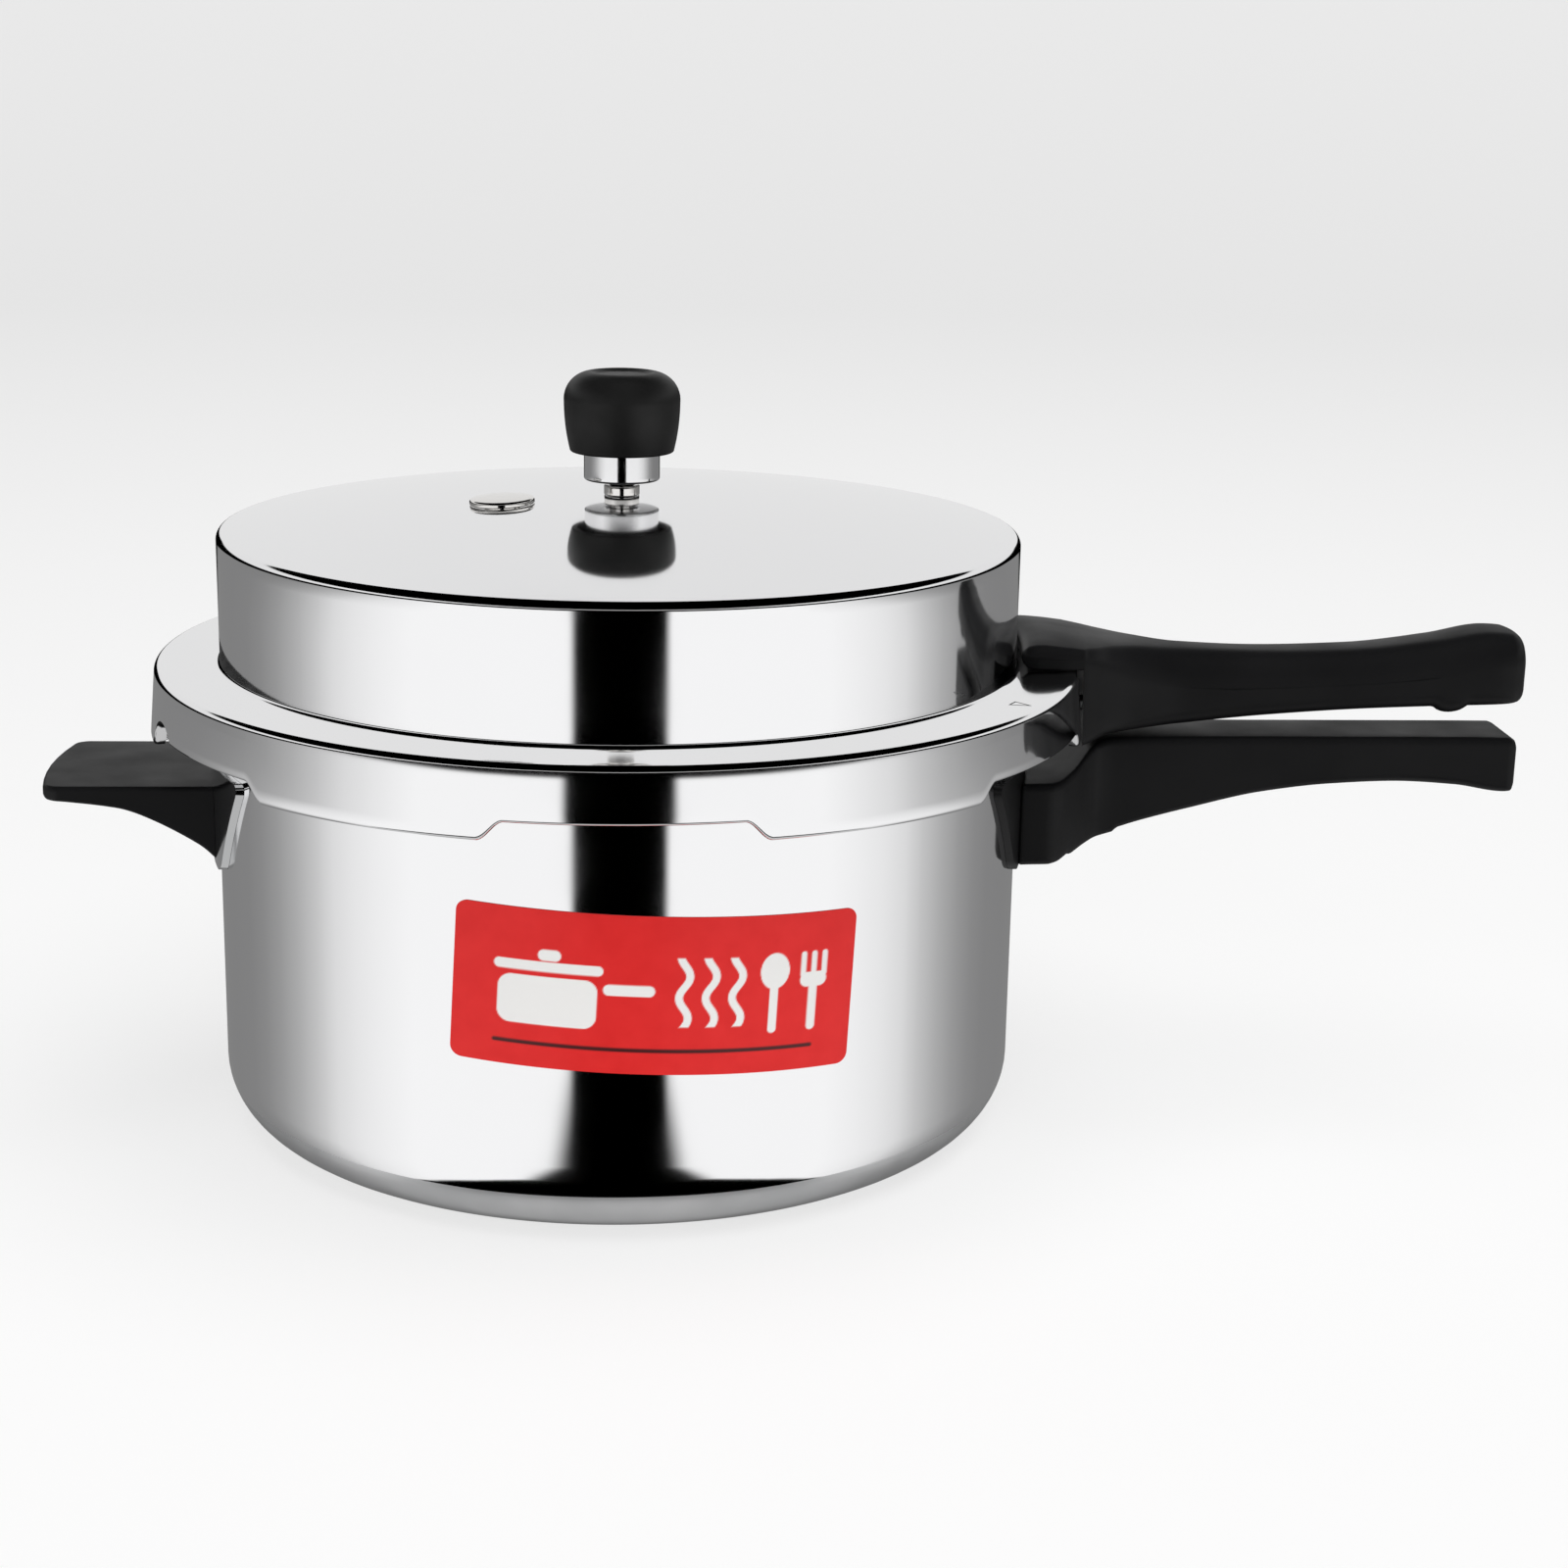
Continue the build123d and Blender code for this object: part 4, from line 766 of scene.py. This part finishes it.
def index_mark():
    """Small etched triangle on the flange: a closed line through three corners, and a thinner one inside it.

    The inner line is the outer one drawn in to four fifths of its distance from the middle.
    """
    angle = np.radians(-31.0)
    corners = np.array([(123.4, 2.3), (123.4, -2.3), (129.2, 0.0)])
    middle = corners.mean(0)
    share = np.linspace(0, 1, 9)[:-1, None]
    line = np.concatenate([a + (b - a) * share for a, b in zip(corners, np.roll(corners, -1, 0))])
    thin = middle + (line - middle) * 0.80
    rows = [(line, 0.04), (thin, 0.04), (thin, 0.0), (line, 0.0)]
    points = [np.stack([x * np.cos(angle) - y * np.sin(angle), x * np.sin(angle) + y * np.cos(angle),
                        0 * x + FLANGE_Z + lift], 1) for (x, y), lift in ((p.T, h) for p, h in rows)]
    faces = [grid_faces(4, len(line), row_closed=True)]
    return piece("index_mark", np.concatenate(points), faces, "lid", [ETCHED], sharp=30)


# ---- Turned pieces ----
def closed_path(corners, step, arc_steps):
    """A rounded path that ends where it starts, halfway along its first side."""
    first = (np.array(corners[0][:2]) + np.array(corners[1][:2])) / 2
    loop = [(*first, 0), *corners[1:], corners[0], (*first, 0)]
    return rounded_path(loop, step, arc_steps)


def knob():
    """Knob: one arc up its side, one over its shoulder, a shallow dish on top and a hollow below."""
    (_, _, foot), (wide, _, top) = box_mm("weight_knob")
    shoulder, dish_r = top - 8.6, 9.6
    seat, mouth_r = foot + 5.25, 13.2
    side = arc_through((15.0, foot + 0.8), (16.15, (foot + shoulder) / 2), (wide, shoulder), 22)
    over = arc_through((wide, shoulder), (14.5, top - 2.45), (dish_r, top), 22)
    dish = rounded_path([(dish_r, top, 0), (9.3, top, 0.3), (7.2, top - 0.75, 1.2), (0, top - 0.8, 0)],
                        0.8, 6)
    hollow = rounded_path([
        (0, top - 3.0, 0), (5.2, top - 3.0, 0.2), (5.2, seat, 0.2), (12.8, seat, 0.6), (mouth_r, foot, 0.6),
        (14.9, foot, 0.7), (15.0, foot + 0.8, 0)], 1.5, 6)
    outline = np.concatenate([hollow, side[1:], over[1:], dish[1:]])
    turned("knob", outline, "weight", KNOB_PHENOLIC, ["weight_knob"], columns=128, sharp=40)


def weight_cylinder():
    """Weight: a wide cylinder with a narrower stud into the knob and a blind bore for the vent."""
    (_, _, foot), (wide, _, top) = box_mm("weight_body")
    shelf, bore_top, bore_r, stud_r = foot + 13.3, foot + 8.3, 4.6, 5.0
    turned("weight", rounded_path([
        (0, bore_top, 0), (bore_r, bore_top, 0.2), (bore_r, foot, 0.4), (wide, foot, 0.7), (wide, shelf, 0.3),
        (stud_r, shelf, 0.3), (stud_r, top, 0.4), (0, top, 0)], 0.8, 6), "weight", STEEL,
        ["weight_body"], columns=128)


def vent():
    """Vent tube: a threaded shank through the dome, a collar on it, and a narrow mouth above."""
    (_, _, foot), (_, _, mouth) = box_mm("vent_tube")
    seat, collar_top = CROWN_Z + 0.05, CROWN_Z + 3.0
    bore_r, tube_r, shank_r, collar_r = 1.5, 3.4, 4.0, 5.1
    turned("vent", closed_path([
        (bore_r, foot, 0), (bore_r, mouth - 1.6, 0.1), (2.3, mouth, 0.2), (tube_r, mouth, 0.3),
        (tube_r, collar_top, 0.5), (collar_r, collar_top, 0.35), (collar_r, seat, 0.3), (shank_r, seat, 0.1),
        (shank_r, foot, 0.4)], 0.8, 5), "lid", NICKEL, ["vent_tube"])


def safety_plug():
    """Safety plug: a low round head and a hollow shank, square to the dome 36 mm out towards the notch.

    The dome is a sphere of radius s = (r^2 + h^2) / 2h, so 36 mm out its normal leans by arcsin(36 / s).
    """
    out = 36.0
    drop = CROWN_Z - DRUM_EDGE_Z
    sphere = (DRUM_R ** 2 + drop ** 2) / (2 * drop)
    lean = np.arcsin(out / sphere)
    seat = np.array([out, 0, CROWN_Z - sphere + np.sqrt(sphere ** 2 - out ** 2)])
    turn = np.array(Matrix.Rotation(np.radians(NOTCH_ANGLE), 3, "Z"))
    place = np.eye(4)
    place[:3, :3] = turn @ np.array(Matrix.Rotation(lean, 3, "Y"))
    place[:3, 3] = turn @ seat
    turned("safety_plug_head", rounded_path([
        (0, -1.0, 0), (2.5, -1.0, 0.2), (2.5, -9.0, 0.2), (5.0, -9.0, 0.5), (5.0, 0.1, 0.1), (9.2, 0.1, 0.3),
        (9.2, 1.6, 0.7), (5.0, 2.05, 4.0), (0, 2.2, 0)], 0.9, 8), "lid", NICKEL,
        ["safety_plug"], columns=128, place=place)


def sealing_ring():
    """Sealing ring: a square section with a groove in its inner side, between lips a third of its height."""
    (_, _, low), (wide, _, top) = box_mm("gasket")
    inner, lip = DRUM_R - 0.5, (top - low) / 3
    groove = inner + 0.45 * (wide - inner)
    middle = (low + top) / 2
    turned("sealing_ring_rubber", closed_path([
        (inner, low, 0.4), (wide, low, 0.5), (wide, top, 0.5), (inner, top, 0.5), (inner, top - lip, 0.3),
        (groove, middle + 0.3, 0.15), (groove, middle - 0.3, 0.15), (inner, low + lip, 0.3)], 2.5, 5),
        "sealing_ring", NITRILE, ["gasket"], columns=240)


# ---- Studio ----
def view_angles(tree):
    """Y and Z of a direction, its azimuth in degrees from -Y, either way, and its height in degrees."""
    way = add(tree, "TexCoord", out="Generated")
    x, y, z = [add(tree, "SeparateXYZ", {0: way}, out=axis) for axis in "XYZ"]
    to_degrees = 180 / np.pi
    ahead = add(tree, "Math", {0: y, 1: -1.0}, operation="MULTIPLY")
    turn = add(tree, "Math", {0: x, 1: ahead}, operation="ARCTAN2")
    turn = add(tree, "Math", {0: turn, 1: to_degrees, 2: 0.65}, operation="MULTIPLY_ADD")
    azimuth = add(tree, "Math", {0: turn}, operation="ABSOLUTE")
    height = add(tree, "Math", {0: z}, operation="ARCSINE")
    height = add(tree, "Math", {0: height, 1: to_degrees}, operation="MULTIPLY")
    return y, z, azimuth, height


def low_boxes(tree, azimuth, height):
    """Brightness below the horizon: two wide boxes that part in front, over a dark floor with a bounce.

    The boxes run from 13 to about 75 degrees to either side and fade to mid grey behind, sooner near their
    tops, where `lean` moves the fade by up to 20 degrees. Their lower edges slope down sideways, and from 50
    degrees down the grey bounce of the floor comes in.
    """
    lean = add(tree, "MapRange", {"Value": height, "From Min": -11.5, "From Max": -8.5, "To Max": 20.0})
    aside = add(tree, "MapRange", {"Value": azimuth, "From Min": 30.0, "From Max": 62.0},
                interpolation_type="SMOOTHSTEP")
    leant = add(tree, "Math", {0: lean, 1: aside, 2: azimuth}, operation="MULTIPLY_ADD")
    part = add(tree, "Math", {0: leant, 1: 1 / 180}, operation="MULTIPLY")
    boxes = [(0, 0), (12.2, 0), (13.8, 0.99), (60, 0.99), (70, 0.93), (79, 0.86), (87, 0.76), (95, 0.58),
             (103, 0.44), (112, 0.33), (121, 0.265), (130, 0.235), (145, 0.225), (180, 0.225)]
    low = add(tree, "ValToRGB", {"Fac": part}, stops=[(at / 180, grey) for at, grey in boxes])
    edge = add(tree, "Math", {0: azimuth, 1: 0.43, 2: height}, operation="MULTIPLY_ADD")
    edge = add(tree, "MapRange", {"Value": edge, "From Min": -17.0, "From Max": -14.0},
               interpolation_type="SMOOTHSTEP")
    low = add(tree, "Mix", {0: 1.0, 6: low, 7: edge}, out=2, data_type="RGBA", blend_type="MULTIPLY")
    bounce = add(tree, "MapRange", {"Value": height, "From Min": -50.0, "From Max": -57.0, "To Max": 0.56},
                 interpolation_type="SMOOTHSTEP")
    return add(tree, "Mix", {0: 1.0, 6: low, 7: bounce}, out=2, data_type="RGBA", blend_type="LIGHTEN")


def studio_light():
    """Soft light from all round, written as brightness against the direction's azimuth and height.

    A dark gap parts the low boxes from a light grey strip, which starts 10 degrees up and sinks to meet the
    boxes straight behind. Over the strip lies a dark ceiling, whose edge rises from front to back.
    """
    world = bpy.data.worlds.new("studio")
    bpy.context.scene.world = world
    world.use_nodes = True
    tree = world.node_tree
    y, z, azimuth, height = view_angles(tree)
    low = low_boxes(tree, azimuth, height)
    strip = [(0, 0.54), (28, 0.56), (62, 0.95), (95, 0.82), (140, 0.80), (180, 0.80)]
    part = add(tree, "Math", {0: azimuth, 1: 1 / 180}, operation="MULTIPLY")
    high = add(tree, "ValToRGB", {"Fac": part}, stops=[(at / 180, grey) for at, grey in strip])
    box_top = add(tree, "MapRange", {"Value": azimuth, "From Min": 140.0, "From Max": 165.0,
                                     "To Min": -4.0, "To Max": -11.0})
    over = add(tree, "Math", {0: height, 1: box_top}, operation="SUBTRACT")
    lit = add(tree, "MapRange", {"Value": over, "From Min": -0.7, "From Max": 0.7,
                                 "To Min": 1.0, "To Max": 0.0}, interpolation_type="SMOOTHSTEP")
    low = add(tree, "Mix", {0: 1.0, 6: low, 7: lit}, out=2, data_type="RGBA", blend_type="MULTIPLY")
    sill = add(tree, "MapRange", {"Value": azimuth, "From Min": 158.0, "From Max": 176.0,
                                  "To Min": 10.0, "To Max": -12.0})
    over = add(tree, "Math", {0: height, 1: sill}, operation="SUBTRACT")
    above = add(tree, "MapRange", {"Value": over, "From Min": -1.0, "From Max": 1.0},
                interpolation_type="SMOOTHSTEP")
    both = add(tree, "Mix", {0: above, 6: low, 7: high}, out=2, data_type="RGBA")
    ceiling = add(tree, "Math", {0: y, 1: -0.12, 2: z}, operation="MULTIPLY_ADD")
    open_sky = add(tree, "MapRange", {"Value": ceiling, "From Min": 0.395, "From Max": 0.425,
                                      "To Min": 1.0, "To Max": 0.0}, interpolation_type="SMOOTHSTEP")
    both = add(tree, "Mix", {0: 1.0, 6: both, 7: open_sky}, out=2, data_type="RGBA", blend_type="MULTIPLY")
    background = tree.nodes["Background"]
    tree.links.new(both, background.inputs["Color"])
    background.inputs["Strength"].default_value = 1.0


def soft_box(name, place, aim, size, power):
    """A square soft box that lights the floor, label and handles, and isn't mirrored in the metal."""
    data = bpy.data.lights.new(name, "AREA")
    data.energy = power
    data.size = size
    light = bpy.data.objects.new(name, data)
    bpy.context.scene.collection.objects.link(light)
    back = (Vector(place) - Vector(aim)).to_track_quat("Z", "Y").to_matrix().to_4x4()
    light.matrix_world = Matrix.Translation(place) @ back
    light.visible_glossy = False
    light.visible_camera = False


def matt_paper():
    """Matt studio paper: pale, and lit a little from itself so that it stays even all round."""
    material = bpy.data.materials.new("matt_studio_paper")
    material.use_nodes = True
    shader = material.node_tree.nodes["Principled BSDF"]
    shader.inputs["Base Color"].default_value = linear("#8C8C8C")
    shader.inputs["Roughness"].default_value = 0.9
    shader.inputs["Specular IOR Level"].default_value = 0.0
    shader.inputs["Emission Color"].default_value = linear("#FFFFFF")
    shader.inputs["Emission Strength"].default_value = 0.72
    return material


def stage_card(name, points, faces, material):
    """A piece of the stage, which isn't mirrored in the metal."""
    mesh = bpy.data.meshes.new(name)
    mesh.from_pydata((points / 1000).tolist(), [], faces)
    mesh.polygons.foreach_set("use_smooth", np.ones(len(mesh.polygons), bool))
    mesh.materials.append(material)
    card = bpy.data.objects.new(name, mesh)
    bpy.context.scene.collection.objects.link(card)
    card.visible_glossy = False
    card.visible_transmission = False
    return card


def backdrop():
    """Pale floor that sweeps up into a round backdrop: an outline 3.5 m out and up, turned round +Z."""
    floor_z, reach = -0.05, 3500
    outline = rounded_path([(0, floor_z, 0), (reach, floor_z, 900), (reach, reach, 0)], 250, 16)[1:]
    columns = 96
    angles = np.arange(columns) * 360 / columns
    paper = matt_paper()
    flat = outline[outline[:, 1] < 1]
    bend = outline[np.argmax(outline[:, 1] >= 1) - 1:]
    points = np.concatenate([round_rows(flat[:, :1], flat[:, 1:], angles), [[0, 0, floor_z]]])
    centre = len(points) - 1
    fan = [[centre, (j + 1) % columns, j] for j in range(columns)]
    stage_card("floor", points, grid_faces(len(flat), columns).tolist() + fan, paper)
    points = round_rows(bend[:, :1], bend[:, 1:], angles)
    sweep = stage_card("sweep", points, grid_faces(len(bend), columns).tolist(), paper)
    sweep.visible_diffuse = False
    sweep.visible_shadow = False


def camera():
    """A 63 mm lens 0.85 m away, 15 degrees down, turned 4 degrees to the right and rolled by 1."""
    data = bpy.data.cameras.new("camera")
    data.sensor_width = 36.0
    data.lens = 63.174
    data.clip_start = 0.05
    data.clip_end = 20
    yaw, pitch, roll = np.radians([3.948, 14.992, 1.104])
    ahead = np.array([np.sin(yaw) * np.cos(pitch), np.cos(yaw) * np.cos(pitch), -np.sin(pitch)])
    level = np.array([np.cos(yaw), -np.sin(yaw), 0])
    up = np.cross(level, ahead)
    place = np.eye(4)
    place[:3, 0] = np.cos(roll) * level + np.sin(roll) * up
    place[:3, 1] = -np.sin(roll) * level + np.cos(roll) * up
    place[:3, 2] = -ahead
    place[:3, 3] = [-0.005978, -0.787624, 0.306987]
    shown = bpy.data.objects.new("camera", data)
    bpy.context.scene.collection.objects.link(shown)
    shown.matrix_world = Matrix(place.tolist())
    bpy.context.scene.camera = shown


# ---- Build ----
vessel()
lid_shell()
lid_grip()
body_grip()
helper_grip()
knob()
weight_cylinder()
vent()
safety_plug()
sealing_ring()
printed_label()
index_mark()
bent_plate("body_bracket", 0.0, ENAMELLED_STRIP)
bent_plate("helper_bracket", 180.0, STRIP)

CARRIED = {
    STRIP: ["lid_bracket"],
    RIVET: ["body_bracket_rivets", "helper_bracket_rivets", "lid_bracket_rivets"],
    ZINC: ["body_handle_screw", "body_handle_washer", "helper_handle_screw", "helper_handle_washer",
           "lid_handle_screw", "lid_handle_washer", "vent_washer", "weight_clip"],
    NICKEL: ["vent_nut", "safety_plug_nut", "weight_needle"],
    ALLOY: ["fusible_slug"],
}
for finish, nodes in CARRIED.items():
    for node in nodes:
        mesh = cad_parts[node].data
        mesh.materials.clear()
        mesh.materials.append(finish)

studio_light()
soft_box("overhead_box", (0.3, -0.3, 1.9), (0, 0, 0.05), 2.2, 38)
soft_box("front_box", (-0.3, -1.9, 0.9), (0, 0, 0.1), 1.4, 13)
backdrop()
camera()
bpy.context.scene.view_settings.view_transform = "Standard"
